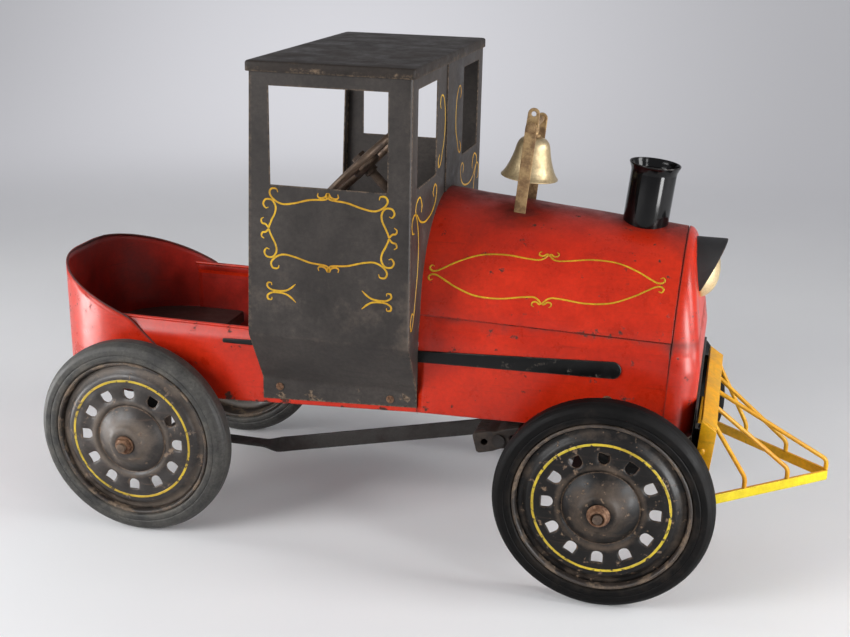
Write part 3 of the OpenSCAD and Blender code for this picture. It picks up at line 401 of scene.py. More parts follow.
# a flat outline, with holes, raised to a plate along the place's own Z from low to high
def plate(outline, place, low, high, holes=(), soft=0.5):
    curve = bpy.data.curves.new("outline", "CURVE")
    curve.dimensions = "2D"
    curve.fill_mode = "BOTH"
    for loop in (outline, *holes):
        spline = curve.splines.new("POLY")
        spline.points.add(len(loop) - 1)
        for point, p in zip(spline.points, loop):
            point.co = (p[0], p[1], 0, 1)
        spline.use_cyclic_u = True
    curve.extrude = (high - low) / 2 - soft
    curve.bevel_depth = soft
    curve.bevel_resolution = 2
    curve.offset = -soft
    holder = bpy.data.objects.new("outline", curve)
    scene.collection.objects.link(holder)
    bpy.context.view_layer.update()
    mesh = bpy.data.meshes.new_from_object(holder.evaluated_get(bpy.context.evaluated_depsgraph_get()))
    points = [place @ Vector((v.co.x, v.co.y, v.co.z + (low + high) / 2)) for v in mesh.vertices]
    faces = [tuple(f.vertices) for f in mesh.polygons]
    bpy.data.objects.remove(holder)
    bpy.data.curves.remove(curve)
    bpy.data.meshes.remove(mesh)
    return points, faces


# the path's direction at one of its points
def heading(path, i):
    return (path[min(i + 1, len(path) - 1)] - path[max(i - 1, 0)]).normalized()


# a round rod along a path
def rod(path, radius, sides=14):
    path = [Vector(p) for p in path]
    rows, across = [], None
    for i, p in enumerate(path):
        along = heading(path, i)
        if across is None:
            across = along.orthogonal().normalized()
        across = (across - along * across.dot(along)).normalized()
        up = along.cross(across)
        turns = [2 * pi * k / sides for k in range(sides)]
        rows.append([p + across * radius * cos(a) + up * radius * sin(a) for a in turns])
    return loft(rows, closed=True, capped=True)


# a smooth path through its knots
def smoothPath(knots, per=7):
    knots = [Vector(k) for k in knots]
    knots = [knots[0] * 2 - knots[1]] + knots + [knots[-1] * 2 - knots[-2]]
    out = []
    for p0, p1, p2, p3 in zip(knots, knots[1:], knots[2:], knots[3:]):
        for t in (k / per for k in range(per)):
            out.append(0.5 * (2 * p1 + (p2 - p0) * t + (2 * p0 - 5 * p1 + 4 * p2 - p3) * t * t
                              + (3 * p1 - p0 - 3 * p2 + p3) * t ** 3))
    return out + [knots[-2]]


def mirrorY(points):
    return [Vector((p[0], -p[1], p[2])) for p in points]


def placed(at, degrees=0, axis="Z"):
    return Matrix.Translation(at) @ Matrix.Rotation(radians(degrees), 4, axis)


# places: own Z out of one side of the car, out of a wheel, up from the hood's crown, down the steering column
def outward(hand=1):
    return Matrix.Rotation(radians(-90 * hand), 4, "X")


def upright(hand):  # a plate's x, y become X, Z
    return Matrix(((1, 0, 0, 0), (0, 0, hand, 0), (0, 1, 0, 0), (0, 0, 0, 1)))


def wheelPlace(x, mid, hand):
    return Matrix.Translation((x, mid * hand, axleZ)) @ outward(hand)


def crownZ(x):
    fall = hood["drop"] + hood["rear"] - hood["front"]
    return hood["axisZ"] + hood["rear"] - (x - hood["start"]) * fall / hoodLong


def crownPlace(x):
    return Matrix.Translation((x, 0, crownZ(x))) @ Matrix.Rotation(crownTilt, 4, "Y")


columnTilt = radians(44.9162)
columnPlace = Matrix.Translation((250, 0, 461)) @ Matrix.Rotation(pi / 2 + columnTilt, 4, "Y")
hoodPlace = Matrix.Translation((hood["start"], 0, hood["axisZ"])) @ Matrix.Rotation(hoodTilt, 4, "Y")
nosePlace = Matrix.Translation((hood["end"], 0, hood["axisZ"] - hood["drop"])) @ Matrix.Rotation(hoodTilt, 4, "Y")


# metres; glow is the centre of a painted pool of light on the wall behind the cab, and reach the distances where the
# paper turns grey
stage = {"floor": ("#e3e3e5", "#e9e9eb"), "seen": ("#f6f6f8", "#fafafb"), "far": "#bcbcc1", "glow": (-1.1, 2.8, 0.15),
         "reach": (1.1, 2.6), "near": -9.0, "depth": 2.2, "rise": 3.2, "curve": 0.9, "wide": 9.0}


# 1 for what the camera sees, directly, mirrored or through glass
def seenRays(add):
    rays = add("LightPath").node.outputs
    seen = add("Math", [rays["Is Camera Ray"], rays["Is Glossy Ray"]], operation="ADD")
    return add("Math", [seen, rays["Is Transmission Ray"]], operation="ADD", use_clamp=True)


def buildStage():
    near, depth, curve = stage["near"], stage["depth"], stage["curve"]
    path = [(near + (depth - near) * t / 10, 0.0) for t in range(10)]
    for a in (radians(90 * t / 14) for t in range(15)):
        path.append((depth + curve * sin(a), curve * (1 - cos(a))))
    path += [(depth + curve, curve + stage["rise"] * t / 6) for t in range(1, 7)]
    points, faces = loft([[Vector((x * stage["wide"], *p)) for x in (-1, -0.5, 0, 0.5, 1)] for p in path])
    mesh = bpy.data.meshes.new("paperSweep")
    mesh.from_pydata(points, [], faces)
    mesh.polygons.foreach_set("use_smooth", [True] * len(mesh.polygons))
    # matt studio paper with the faintest clouding, seen a little paler than it throws light back
    material, add, where, (cloud,) = newMaterial("seamlessPaper", (500, 3, 0.5))
    tint, pale = (add("ValToRGB", [cloud], stops=[(0.3, low), (0.7, high)])
                  for low, high in (stage["floor"], stage["seen"]))
    seen = seenRays(add)
    paper = add("Mix", {"Factor": seen, "A": tint, "B": pale}, **blend)
    shader = add("BsdfPrincipled", {"Base Color": paper, "Roughness": 0.85})
    # away from the car, beyond the reach of the lamps, the paper is seen glowing pale grey, brighter round glow:
    # painted light
    away = add("VectorMath", [where], "Value", operation="LENGTH")
    far = add("MapRange", [away, stage["reach"][0], stage["reach"][1], 0, 0.9], interpolation_type="SMOOTHSTEP")
    far = add("Math", [far, seen], operation="MULTIPLY")
    glow = add("VectorMath", [where, stage["glow"]], "Value", operation="DISTANCE")
    glow = add("MapRange", [glow, 0, 1.9, 1.4, 0.84],
               interpolation_type="SMOOTHSTEP")
    paintedGlow = add("Emission", {"Color": linear(stage["far"]), "Strength": glow})
    both = add("MixShader", [far, shader, paintedGlow])
    add("OutputMaterial", [both])
    mesh.materials.append(material)
    sweep = bpy.data.objects.new("paperSweep", mesh)
    scene.collection.objects.link(sweep)


view = {"place": (0.3493, -1.4492, 0.7659), "turn": 14.21, "down": 18.53, "roll": 1.2, "focal": 1222.7, "pixels": 850,
        "sensor": 36}


def buildCamera():
    data = bpy.data.cameras.new("photoView")
    data.sensor_width = view["sensor"]
    data.lens = view["focal"] * view["sensor"] / view["pixels"]
    data.clip_start = 0.02
    camera = bpy.data.objects.new("photoView", data)
    camera.matrix_world = Matrix.Translation(view["place"])
    for angle, axis in ((view["turn"], "Z"), (90 - view["down"], "X"), (view["roll"], "Z")):
        camera.matrix_world = camera.matrix_world @ Matrix.Rotation(radians(angle), 4, axis)
    scene.collection.objects.link(camera)
    scene.camera = camera


lamps = {  # place, aim, width, height, watts
    "leftSoft": ((-1.6, -1.7, 1.1), (-0.2, -0.2, 0.2), 1.2, 1.2, 45),
    "rightSoft": ((2.1, -0.1, 0.9), (0.2, 0, 0.25), 0.6, 1.4, 31),
    "rightStrip": ((1.49, -1.01, 0.6), (0.15, 0, 0.4), 0.25, 1.15, 8),
    "leftEdge": ((-2.1, -0.25, 0.6), (-0.4, 0, 0.3), 0.4, 1.2, 9),
    "backWash": ((-0.9, 1.3, 2.2), (-0.9, 3.1, 1.3), 1.6, 0.6, 8),
    "noseGlint": ((1.0, -0.6, 0.33), (0.22, 0, 0.4), 0.26, 0.56, 11),
    "tubGlint": ((-0.98, -0.3, 0.13), (-0.42, -0.11, 0.26), 0.36, 0.22, 3.4),
}


def buildLights():
    for name, (place, aim, wide, high, watts) in lamps.items():
        data = bpy.data.lights.new(name, "AREA")
        data.shape = "RECTANGLE"
        data.size, data.size_y, data.energy = wide, high, watts
        lamp = bpy.data.objects.new(name, data)
        lamp.location = place
        lamp.rotation_euler = (Vector(aim) - Vector(place)).to_track_quat("-Z", "Y").to_euler()
        lamp.visible_diffuse = "Glint" not in name  # these only draw a highlight on glossy paint
        lamp.visible_camera = False
        scene.collection.objects.link(lamp)
    world = bpy.data.worlds.new("studioAir")
    world.use_nodes = True
    world.node_tree.nodes.clear()
    add = partial(addNode, world.node_tree)
    dim = add("Background", {"Color": linear("#dfe2e8"), "Strength": 0.18})
    seen = add("Background", {"Color": linear(stage["far"]), "Strength": 1.0})
    both = add("MixShader", [seenRays(add), dim, seen])
    add("OutputWorld", [both])
    scene.world = world


buildStage()
buildCamera()
buildLights()
print("stage, camera, lights")


def hoodRadius(along):
    return hood["rear"] - (hood["rear"] - hood["front"]) * along / hoodRun


# a point on the hood: along its length, round from the left fold, lifted off the skin
def onHood(along, angle, lift=0.0):
    return hoodPlace @ Vector((along, *polar(hoodRadius(along) + lift, angle)))


hoodSkin = {"rows": 32, "round": 72, "gap": 0.9, "sink": 0.25, "dent": 0.21, "beat": 0.7, "sootyShade": 26.0,
            "feet": ((456, -38), (456, 38), (602, 0))}


def buildHood():
    rows = []
    for i in range(hoodSkin["rows"] + 1):
        along = (hoodRun - hoodSkin["gap"]) * i / hoodSkin["rows"]
        dent = hoodSkin["dent"] * sin(i * hoodSkin["beat"])  # hand-rolled sheet is never quite true
        angles = [pi * j / hoodSkin["round"] for j in range(hoodSkin["round"] + 1)]
        rows.append([onHood(along, a, dent * sin(a) - hoodSkin["sink"]) for a in angles])

    def soilAndShade(p):  # crown darker, part soot, part painted shade; soot round the bell and stack; darker against the cab and nose
        below = crownZ(p.x) - p.z
        amount = 0.31 * clamp(1 - below / hoodSkin["sootyShade"])
        for x, y in hoodSkin["feet"]:
            amount += 0.3 * fade((p.x - x) ** 2 + (p.y - y) ** 2, 1100) * (below < 30)
        return amount + 0.22 * fade(abs(p.x - cabFront), 9) + 0.12 * fade(abs(p.x - hood["end"]), 8)
    makePiece("hoodSheet", loft(rows), "redEnamel", "red_paint", ["hood_shell"], thick=sheet, bevel=0.45, soilAndShade=soilAndShade)


# the face leans back by its slant above the break; a return flange closes the seam behind the hood's edge
nose = {"inset": 23.0, "low": 112.0, "half": 119.7, "ledge": 28.0, "front": 35.0, "break": 30.0, "slant": 0.19,
        "crown": 118.0, "flange": (-9, 0.2), "tuck": 2.4, "lap": 0.3}


def buildNose():
    half, lap = nose["half"], nose["lap"]

    def depth(z):
        return nose["front"] - max(0, (z + nose["break"]) * nose["slant"])
    edge = [(half, -nose["low"]), (half, -nose["ledge"] - 2), (half - 1.8, -15), (hood["front"] + lap, 0)]
    left = rounded(edge, [0, 6, 4, 3], steps=5, closed=False)
    left = [left[0].lerp(left[1], k / 6) for k in range(6)] + left[1:-1]
    over = [Vector(p) for p in arc(0, 0, hood["front"], 0, 180, 48)]
    rim = left + over + [Vector((-p[0], p[1])) for p in reversed(left)]
    face = [Vector((p[0] * (1 - nose["inset"] / half), p[1] * (1 - nose["inset"] / nose["crown"] * (p[1] > 0))))
            for p in rim]
    rows = []
    for back in nose["flange"]:
        rows.append([nosePlace @ Vector((back, *(p * (1 - nose["tuck"] / p.length)))) for p in rim])
    for a in (pi / 2 * k / 12 for k in range(13)):
        rows.append([nosePlace @ Vector((lap + (depth(q[1]) - lap) * sin(a), *(p + (q - p) * (1 - cos(a)))))
                     for p, q in zip(rim, face)])
    for s in (1 - k / 8 for k in range(1, 9)):  # the face closes on its middle line
        rows.append([nosePlace @ Vector((depth(q[1]), q[0] * s, q[1])) for q in face])
    level = nosePlace.inverted()

    def soilAndShade(p):  # painted shade along the ledge's crease; darker at the lower edge and in the seam
        q = level @ p
        return 0.36 * band(q.z + 2, 6) + 0.16 * band(q.z + nose["low"], 9) + 0.24 * fade(max(q.x, 0), 3)
    makePiece("nosePan", loft(rows), "redEnamel", "red_paint", ["nose_shell"], thick=1.4, sharp=50, even=False,
              soilAndShade=soilAndShade)


side = {"low": 174.0, "front": 190.0, "climb": (60, 358), "rim": 272.0, "fold": 14.0, "rimIn": 8.0, "flange": 12.0,
        "start": -45.0, "gap": 1.2, "bead": 2.3}


def lowEdge(x):
    start, end = side["climb"]
    return side["low"] + (side["front"] - side["low"]) * clamp((x - start) / (end - start))


def buildSides(word, hand):
    rows = []
    inner = halfBody - side["rimIn"]
    for i in range(41):
        x = side["start"] + (cabFront - side["start"]) * i / 40
        low = lowEdge(x)
        path = [(halfBody - side["flange"], low), (halfBody, low), (halfBody, side["rim"] - side["fold"]),
                (inner, side["rim"])]
        rows.append([Vector((x, *p)) for p in rounded(path, [0, 4, 7, 0], steps=5, closed=False)])
    back = loft(rows)
    rows = []
    long = (hood["end"] - cabFront) / cos(taper)
    for i in range(33):
        s = (long - side["gap"]) * i / 32
        fold = foldZ - s * tan(hoodTilt)
        path = [(-side["flange"], side["front"]), (0, side["front"]), (0, fold - 28), (-1.6, fold - 14),
                (-7.5, fold - 0.05)]
        path = rounded(path, [0, 4, 6, 4, 0], steps=5, closed=False)
        rows.append([Vector((cabFront + s * cos(taper) + p[0] * sin(taper),
                             halfBody - s * sin(taper) + p[0] * cos(taper), p[1])) for p in path])
    points, faces = merge(back, loft(rows))
    if hand < 0:
        points = mirrorY(points)

    def soilAndShade(p):  # darker along the foot and against the nose, painted shade under the hood's fold
        ledge = foldZ - (p.x - cabFront) * tan(hoodTilt) - p.z
        # painted shade in a band under the hood's fold
        under = 0.26 * band(ledge, 9) if p.x > cabFront else 0
        return 0.16 * fade(p.z - lowEdge(p.x), 14) + under + 0.16 * fade(abs(p.x - hood["end"]), 5)
    makePiece("bodySide." + word, (points, faces), "redEnamel", "red_paint", ["body_side_" + word], thick=sheet,
              bevel=0.4, soilAndShade=soilAndShade)
    # rolled edge along the seat well
    wire = [(x, (inner - 1.2) * hand, side["rim"] + 0.2) for x in range(-44, 176, 4)]
    makePiece("wellBead." + word, rod(wire, side["bead"]), "redEnamel", "red_paint")
    buildSpear(word, hand)


spear = {"z": 263.0, "tail": 109.0, "run": 228.0, "r": 10.5, "low": -0.6, "high": 1.9, "soft": 1.1}


# pressed moulding, painted black, running from a thin tail to a round nose
def buildSpear(word, hand):
    z, tail = spear["z"], spear["tail"]
    back = [(tail, z - 9), (cabFront, z - 7), (cabFront, z + 7.5), (tail, z - 3.5)]
    tip = [(0, z - 7)] + arc(spear["run"], z + 4.5, spear["r"], -86, 86, 16) + [(0, z + 7.5)]
    foot = Matrix.Translation((0, halfBody * hand, 0))
    turn = Matrix.Translation((cabFront, halfBody * hand, 0)) @ Matrix.Rotation(-taper * hand, 4, "Z")
    shapes = [plate(outline, place @ upright(hand), spear["low"], spear["high"], soft=spear["soft"])
              for outline, place in ((rounded(back, [2.5, 0, 0, 2.5], steps=5), foot), (tip, turn))]
    makePiece("sideSpear." + word, merge(*shapes), "spearBlack", "black_paint", sharp=60)


tub = {"tail": -150.0, "round": 118.0, "half": 135.7, "wrap": 72.0, "foot": 174.5, "top": 323.0, "arm": -16.0,
       "rise": 53.2, "slope": [(-16, 271.5), (30, 229), (72, 182)]}


# plan of the tub from the near front end round the tail to the far one
def tubPlan(shrink=0.0):
    half, tail, r = tub["half"] - shrink, tub["tail"] + shrink, tub["round"] - shrink
    near = [(x, -half) for x in range(int(tub["wrap"]), int(tail + r), -6)]
    turns = [polar(r, radians(a)) for a in range(0, 91, 4)]
    near += [(tail + r - y, -(half - r) - x) for x, y in turns]
    flat = [(tail, y) for y in (-(half - r) * 0.5, 0, (half - r) * 0.5)]
    return near + flat + [(x, -y) for x, y in reversed(near)]


# height of the tub's rim: it slopes down along the arms and rises round the back
def backTop(x):
    back = max(0, (tub["arm"] - x) / (tub["arm"] - tub["tail"]))
    return follow(tub["slope"], x) + tub["rise"] * back ** 0.92


def buildSeatBack():
    rows = [[Vector((x, y, tub["foot"] + (backTop(x) - tub["foot"]) * k / 14)) for x, y in tubPlan()]
            for k in range(15)]
    piece = makePiece("seatBack", loft(rows), "redEnamel", "red_paint", ["seat_back"], thick=sheet,
                      soilAndShade=lambda p: 0.2 * fade(backTop(p.x) - p.z, 9) + 0.14 * fade(p.z - 174, 16))
    # the tub's inner face takes the darker red: painted shade
    piece.data.materials.append(finish["innerRedShaded"])
    piece.modifiers["sheet"].material_offset = 1
    edge = [(x, y, min(backTop(x), tub["top"])) for x, y in tubPlan(sheet)]
    makePiece("seatBackBead", rod(edge, 1.5, sides=10), "innerRedShaded", "red_paint", soilAndShade=lambda p: 0.5)
    # inner skin of the well in the darker red, as painted shade, so that the outside can stay bright
    for word, hand in hands:
        rows = []
        for x in range(-44, 344, 8):
            wall = [(halfBody - 1.75, z) for z in (lowEdge(x) + 3, 200, 230, 258)] + [(halfBody - 9.6, 270.5)]
            rows.append([Vector((x, y * hand, z)) for y, z in wall])
        makePiece("wellLining." + word, loft(rows), "innerRedShaded", "red_paint", thick=0.2, offset=0)


seat = {"z": 203.0, "front": 25.0, "back": -146.0, "half": 131.5, "round": 108.0, "lip": (16.0, 1.5)}


def buildSeat():
    half, r = seat["half"], seat["round"]
    outline = [(seat["front"], -half), (seat["front"], half)]
    turns = [polar(r, radians(a)) for a in range(0, 91, 6)]
    outline += [(seat["back"] + r - y, half - r + x) for x, y in turns]
    outline += [(x, -y) for x, y in reversed(outline[2:])]
    outline = rounded(outline, [5, 5] + [0] * (len(outline) - 2))
    board = plate(outline, Matrix.Identity(4), seat["z"] - 2, seat["z"], soft=0.8)
    makePiece("seatBoard", board, "seatPaint", "dark_steel", ["seat_pan"], sharp=50)
    rows = [[Vector((seat["front"] - 0.2, y, seat["z"] - down)) for down in seat["lip"]]
            for y in (-130, -65, 0, 65, 130)]
    makePiece("seatLip", loft(rows), "seatPaint", "dark_steel", thick=1.8, offset=0, bevel=0.5)


buildHood()
buildNose()
for word, hand in hands:
    buildSides(word, hand)
buildSeatBack()
buildSeat()
print("body sheets")


# the wall's outline runs round the hood and down the ledge of the body side; its halves lap at the middle
cab = {"rear": 162.0, "lean": 9.0, "half": 178.0, "knee": 286.0, "flange": 216.0, "top": 603.3, "footY": 135.6,
       "foot": 7.5, "sill": 467.0, "head": 578.0, "window": (193.0, 331.0), "wallHalf": 175.4, "notch": 126.5,
       "laps": {-1: (356.5, 358), 1: (358.05, 359.5)}, "pane": ((64, 468), (152, 468), (152, 579), (64, 579))}


def cabBack(z):
    return cab["rear"] + cab["lean"] * max(0, z - cab["knee"]) / (cab["top"] - cab["knee"])


def buildCabSide(word, hand):
    half, top = cab["half"], cab["top"]
    bend = [(cab["footY"], 184), (cab["footY"], cab["flange"]), (half, cab["knee"]), (half, 330)]
    section = [tuple(p) for p in rounded(bend, [0, 4, 5, 0], closed=False)]
    section += [(half, z) for z in (340, 380, 420, 450, cab["sill"], 490, 520, 550, cab["head"], 590, top)]
    winRear, winFront = cab["window"]
    rows = []
    for n, (y, z) in enumerate(section):
        back = cabBack(z)
        turn = 0.8 if z < 224 else 3.0
        xs = [back, back + 8, 184, winRear, 225, 260, 295, winFront, 342, cabFront - turn]
        line = [(x, y, x) for x in xs]
        for a in (60, 30, 0):
            x, inward = polar(turn, radians(a))
            line.append((cabFront - turn + x, y - turn + inward, cabFront))
        rows.append([Vector((x, y, z if n else lowEdge(at) + cab["foot"])) for x, y, at in line])
    points, faces = loft(rows)

    def isWindow(face):
        mid = sum((points[i] for i in face), Vector()) / 4
        return winRear < mid.x < winFront and cab["sill"] < mid.z < cab["head"]
    faces = [f for f in faces if not isWindow(f)]
    # rear edge turned in as a stiffening flange
    fold = [[Vector((cabBack(z) + 0.7, half - 0.8 - w, z)) for w in (0, 4, 8, 12.5)] for z in (294, 400, 500, top)]
    points, faces = merge((points, faces), loft(fold))
    if hand < 0:
        points = mirrorY(points)

    # pale dust at the foot, knee and front edge, paler above the knee; the flap below the knee is kept darker:
    # painted shade
    def soilAndShade(p):
        return (0.12 * fade(p.z - 190, 12) + 0.12 * fade(abs(p.z - cab["knee"]), 5) - 0.14 * (p.z < cab["knee"] - 6)
                + 0.2 * fade(cabFront - p.x, 6) + 0.13 * band(p.z - 330, 34))
    makePiece("cabSide." + word, (points, faces), "cabEnamel", "cab_paint", ["cab_half_" + word], thick=sheet,
              bevel=0.4, soilAndShade=soilAndShade)
    outline = [(134.1, 217), (cab["wallHalf"], 282), (cab["wallHalf"], top), (-20, top)]
    outline += arc(0, foldZ, cab["notch"], 99, 3, 32) + [(126.7, foldZ), (132.5, foldZ - 14), (134.1, foldZ - 28)]
    place = Matrix(((0, 0, 1, 0), (hand, 0, 0, 0), (0, 1, 0, 0), (0, 0, 0, 1)))
    wall = plate(outline, place, *cab["laps"][hand], holes=[rounded(cab["pane"], 2, steps=3)], soft=0.3)
    makePiece("cabFront." + word, wall, "cabEnamel", "cab_paint", sharp=40, soilAndShade=lambda p: 0.03)


# each ring is (inset, height under the top, corner radius)
roof = {"rear": 166.0, "front": 362.0, "half": 181.0, "top": 605.0,
        "rings": ((1.6, 12, 4), (0.4, 12, 5), (0, 11.5, 5), (0, 3.2, 5), (0.5, 1.6, 5), (1.6, 0.7, 5), (3.2, 0.35, 5),
                  (16, 0.3, 4), (40, 0.1, 3), (70, 0, 2), (90, 0, 0.5))}


def buildRoof():
    midRoof = (roof["rear"] + roof["front"]) / 2
    rows = []
    for inset, down, corner in roof["rings"]:
        a, b = (roof["front"] - roof["rear"]) / 2 - inset, roof["half"] - inset
        path = rounded([(a, -b), (a, b), (-a, b), (-a, -b)], corner, steps=6)
        out = []
        for i, p in enumerate(path):
            out.append(p)
            if i % 7 == 6:  # last point of a corner: fill the straight side after it
                out += [p.lerp(path[(i + 1) % len(path)], k / 10) for k in range(1, 10)]
        rows.append([Vector((midRoof + p[0], p[1], roof["top"] - down)) for p in out])
    points, faces = loft(rows, closed=True)
    faces.append(tuple(range(len(points) - len(rows[0]), len(points))))
    makePiece("cabRoof", (points, faces), "roofEnamelShaded", "cab_paint", ["cab_roof"], thick=1.2, sharp=60)


screw = {"x": (184, 325), "y": 135.8, "z": 205.0, "r": 5.0, "dome": 2.5, "round": 27.0, "slot": 0.75, "slotEnd": 23.0,
         "deep": 1.0, "skew": 0.25, "grid": 16}


# slotted round-head screws through the flange
def buildScrews():
    parts = []
    steps = [i / screw["grid"] * 2 - 1 for i in range(screw["grid"] + 1)]
    for hand in (-1, 1):
        for x in screw["x"]:
            rows = []
            for u in steps:
                row = []
                for v in steps:
                    a, b = u * sqrt(1 - v * v / 2) * screw["r"], v * sqrt(1 - u * u / 2) * screw["r"]
                    out = a * a + b * b
                    h = screw["dome"] * sqrt(max(0, 1 - out / screw["round"]))
                    if abs(a + b * screw["skew"]) < screw["slot"] and out < screw["slotEnd"]:
                        h -= screw["deep"]
                    row.append(Vector((x + a, hand * (screw["y"] + h), screw["z"] + b)))
                rows.append(row)
            parts.append(loft(rows))
    makePiece("flangeScrews", merge(*parts), "rustySteel", "rusty_nut", ["cab_screws"], sharp=60)


bolt = {"run": 224.7, "z": 229.0, "washer": ((0, 1.2), (6.2, 1.2), (6.4, 0.8), (6.4, -0.5)),
        "head": ((0.9, 4.4), (3.4, 4.4), (4.0, 3.8), (4.0, 0.01))}


# a small bolt through each body side over the front axle
def buildSideBolts():
    parts = []
    for hand in (-1, 1):
        x, y = polar(bolt["run"], taper)
        place = Matrix.Translation((cabFront + x, (halfBody - y) * hand, bolt["z"])) @ outward(hand)
        parts += [spin(bolt["washer"], place, turns=32, closed=False), hexStack(bolt["head"], place)]
    makePiece("sideBolts", merge(*parts), "rustySteel", "rusty_nut", sharp=40)


buildSideBolts()
for word, hand in hands:
    buildCabSide(word, hand)
buildRoof()
buildScrews()
print("cab sheets")


# radius and how far below the tyre's side, from the rim out to the tread
tyre = {"half": 16.0, "bead": 101.0, "side": [
    (100.2, 4.4), (102.8, 3.8), (104.6, 0.6), (107.5, 0), (110.6, 0), (111.2, 0.8), (112, 0.8), (112.6, 0.1),
    (118.5, 0.4), (122.6, 3), (125, 6.2), (125.6, 7.6), (125.5, 8.2), (126.5, 9), (127, 13)]}
disc = {"holes": 12, "holeAt": 61.0, "holeHalf": 6.5, "flat": 6.9, "sheet": 2.0, "ridge": 1.7,
        "pierced": (52.0, 72.0), "across": 8, "deep": 5,
        "lip": ((0, 1.5), (0.06, 0.7), (0.16, 0.15), (0.34, 0), (0.6, 0), (1.0, 0)),
        "outer": [72, 74, 78, 82, 83.5, 85, 86.5, 88, 89.5, 91, 94, 98.4], "rise": [
            (9, 30.9), (15, 30.9), (18, 30.7), (20.5, 30), (22.3, 28.4), (23.8, 26.4), (26, 24.8), (30, 23),
            (34, 20.7), (38, 18), (41, 15.5), (43.4, 13.2), (44.6, 12.2), (46, 13.2), (48, 14.6), (50, 14.9),
            (52, 14.6), (54.5, 13.3), (57, 12.6), (64, 13.1), (70, 13.7), (74, 13.9), (82, 13.9), (85, 13),
            (88, 10.6), (91, 8.6), (94, 8), (98.4, 8)]}
rimSheet = [(97.3, 7.6), (98, 12.6), (99.2, 14.6), (101.4, 14.8), (102.5, 13.4), (102.3, 12.3), (100, 11.8),
            (100, -11.8), (102.3, -12.3), (102.4, -13.8), (99.6, -14.2), (98.2, -12.6), (98, 6.6)]
hubTube = [(5.7, -9.9), (9.6, -9.9), (9.9, 26), (9.9, 30.7), (5.7, 30.7)]
wheelStripe = [(76.6, 13.86), (77, 14.12), (79.4, 14.12), (79.8, 13.86)]


# the disc's face, with a pressed ridge between the openings
def discHeight(r, angle):
    inner, outer = clamp((r - 51) / 5), clamp((76 - r) / 6)
    press = inner * inner * (3 - 2 * inner) * outer * outer * (3 - 2 * outer)
    return follow(disc["rise"], r) + disc["ridge"] * press * (0.5 - 0.5 * cos(disc["holes"] * angle))


# the pressed disc: rings of points, with a patch round each opening in the pierced band
def buildDisc(place):
    sector = 2 * pi / disc["holes"]
    across, deep, at, w = disc["across"], disc["deep"], disc["holeAt"], disc["holeHalf"]
    low, high = disc["pierced"]
    parts = []
    turns = [sector * (k / across - 0.5) for k in range(disc["holes"] * across)]
    for radii in ([r for r, z in disc["rise"] if r <= low], disc["outer"]):
        parts.append(loft([[place @ Vector((*polar(r, a), discHeight(r, a))) for a in turns] for r in radii],
                          closed=True))
    # once round a sector
    edge = [polar(low, sector * (k / across - 0.5)) for k in range(across)]
    edge += [polar(low + (high - low) * k / deep, sector / 2) for k in range(deep)]
    edge += [polar(high, sector * (0.5 - k / across)) for k in range(across)]
    edge += [polar(high - (high - low) * k / deep, -sector / 2) for k in range(deep)]
    hole = []
    for ex, y in edge:  # D outline: round towards the hub, flat outside
        x = ex - at
        if x < 0:
            s = w / hypot(x, y)
        else:
            s = min(w / abs(y) if y else 9, disc["flat"] / x if x else 9)
        hole.append((at + x * s, y * s))
    for turn in (i * sector for i in range(disc["holes"])):
        rows = []
        for t, sink in disc["lip"]:
            row = []
            for (ex, ey), (hx, hy) in zip(edge, hole):
                x, y = hx + (ex - hx) * t, hy + (ey - hy) * t
                r, a = hypot(x, y), atan2(y, x)
                row.append(place @ Vector((*polar(r, a + turn), discHeight(r, a) - sink)))
            rows.append(row)
        parts.append(loft(rows, closed=True))
    return merge(*parts)


def buildWheel(name, place, body, nodes, rubber, paint):
    middle = place.translation

    def reach(p):
        return hypot(p.x - middle.x, p.z - middle.z)

    def discDustAndSheen(p):  # dust in the rim's hollow; hub crest and the ring outside it paler, part patina, part painted sheen
        d = reach(p)
        dust = 0.34 if paint == "paleWheel" else 0.16
        return dust * band(d - 92, 6) + 0.32 * band(d - 24, 14) + 0.3 * band(d - 50, 4)
    half = [(r, tyre["half"] - down) for r, down in tyre["side"]]
    tread = ring([(r, -z) for r, z in half] + half[::-1], place, 0.9, steps=3)
    makePiece(name + "Tyre", tread, rubber, "tyre_rubber", nodes[:1], body, sharp=60,
              soilAndShade=lambda p: 0.42 * fade(max(reach(p) - tyre["bead"], 0), 6))
    makePiece(name + "Disc", buildDisc(place), paint, "wheel_paint", nodes[1:2], body, thick=disc["sheet"], sharp=60,
              soilAndShade=discDustAndSheen)
    rim = merge(ring(rimSheet, place, 0.8), ring(hubTube, place, 0.5, turns=48))
    makePiece(name + "Rim", rim, "rimSteel", "wheel_paint", body=body, sharp=60)
    makePiece(name + "Line", spin(wheelStripe, place, turns=128), "wheelLine", "yellow_paint", body=body)


# height, radius and how six-sided the nut is there
nutLevels = ((33.0, 9.2, 0.35), (33.6, 10.0, 1.0), (37.6, 10.0, 1.0), (38.4, 8.9, 0.3), (38.4, 5.7, 0.0))
capSide = [(5.6, 31.3), (13.2, 31.3), (13.4, 32.2), (10.6, 33.6), (10.2, 39.6), (9, 41.4), (7.4, 41), (6.9, 38),
           (5.6, 38)]


# six-sided nut with chamfered corners and its washer
def buildNut(place):
    rows = []
    for z, r, flat in nutLevels:
        row = []
        for a in (2 * pi * k / 48 for k in range(48)):
            hexR = r * cos(pi / 6) / cos((a % (pi / 3)) - pi / 6)
            row.append(place @ Vector((*polar(r * 0.9 + (hexR - r * 0.9) * flat, a), z)))
        rows.append(row)
    return merge(collar(5.6, 12.0, 31.3, 33.0, place, 0.5, 48), loft(rows, closed=True))


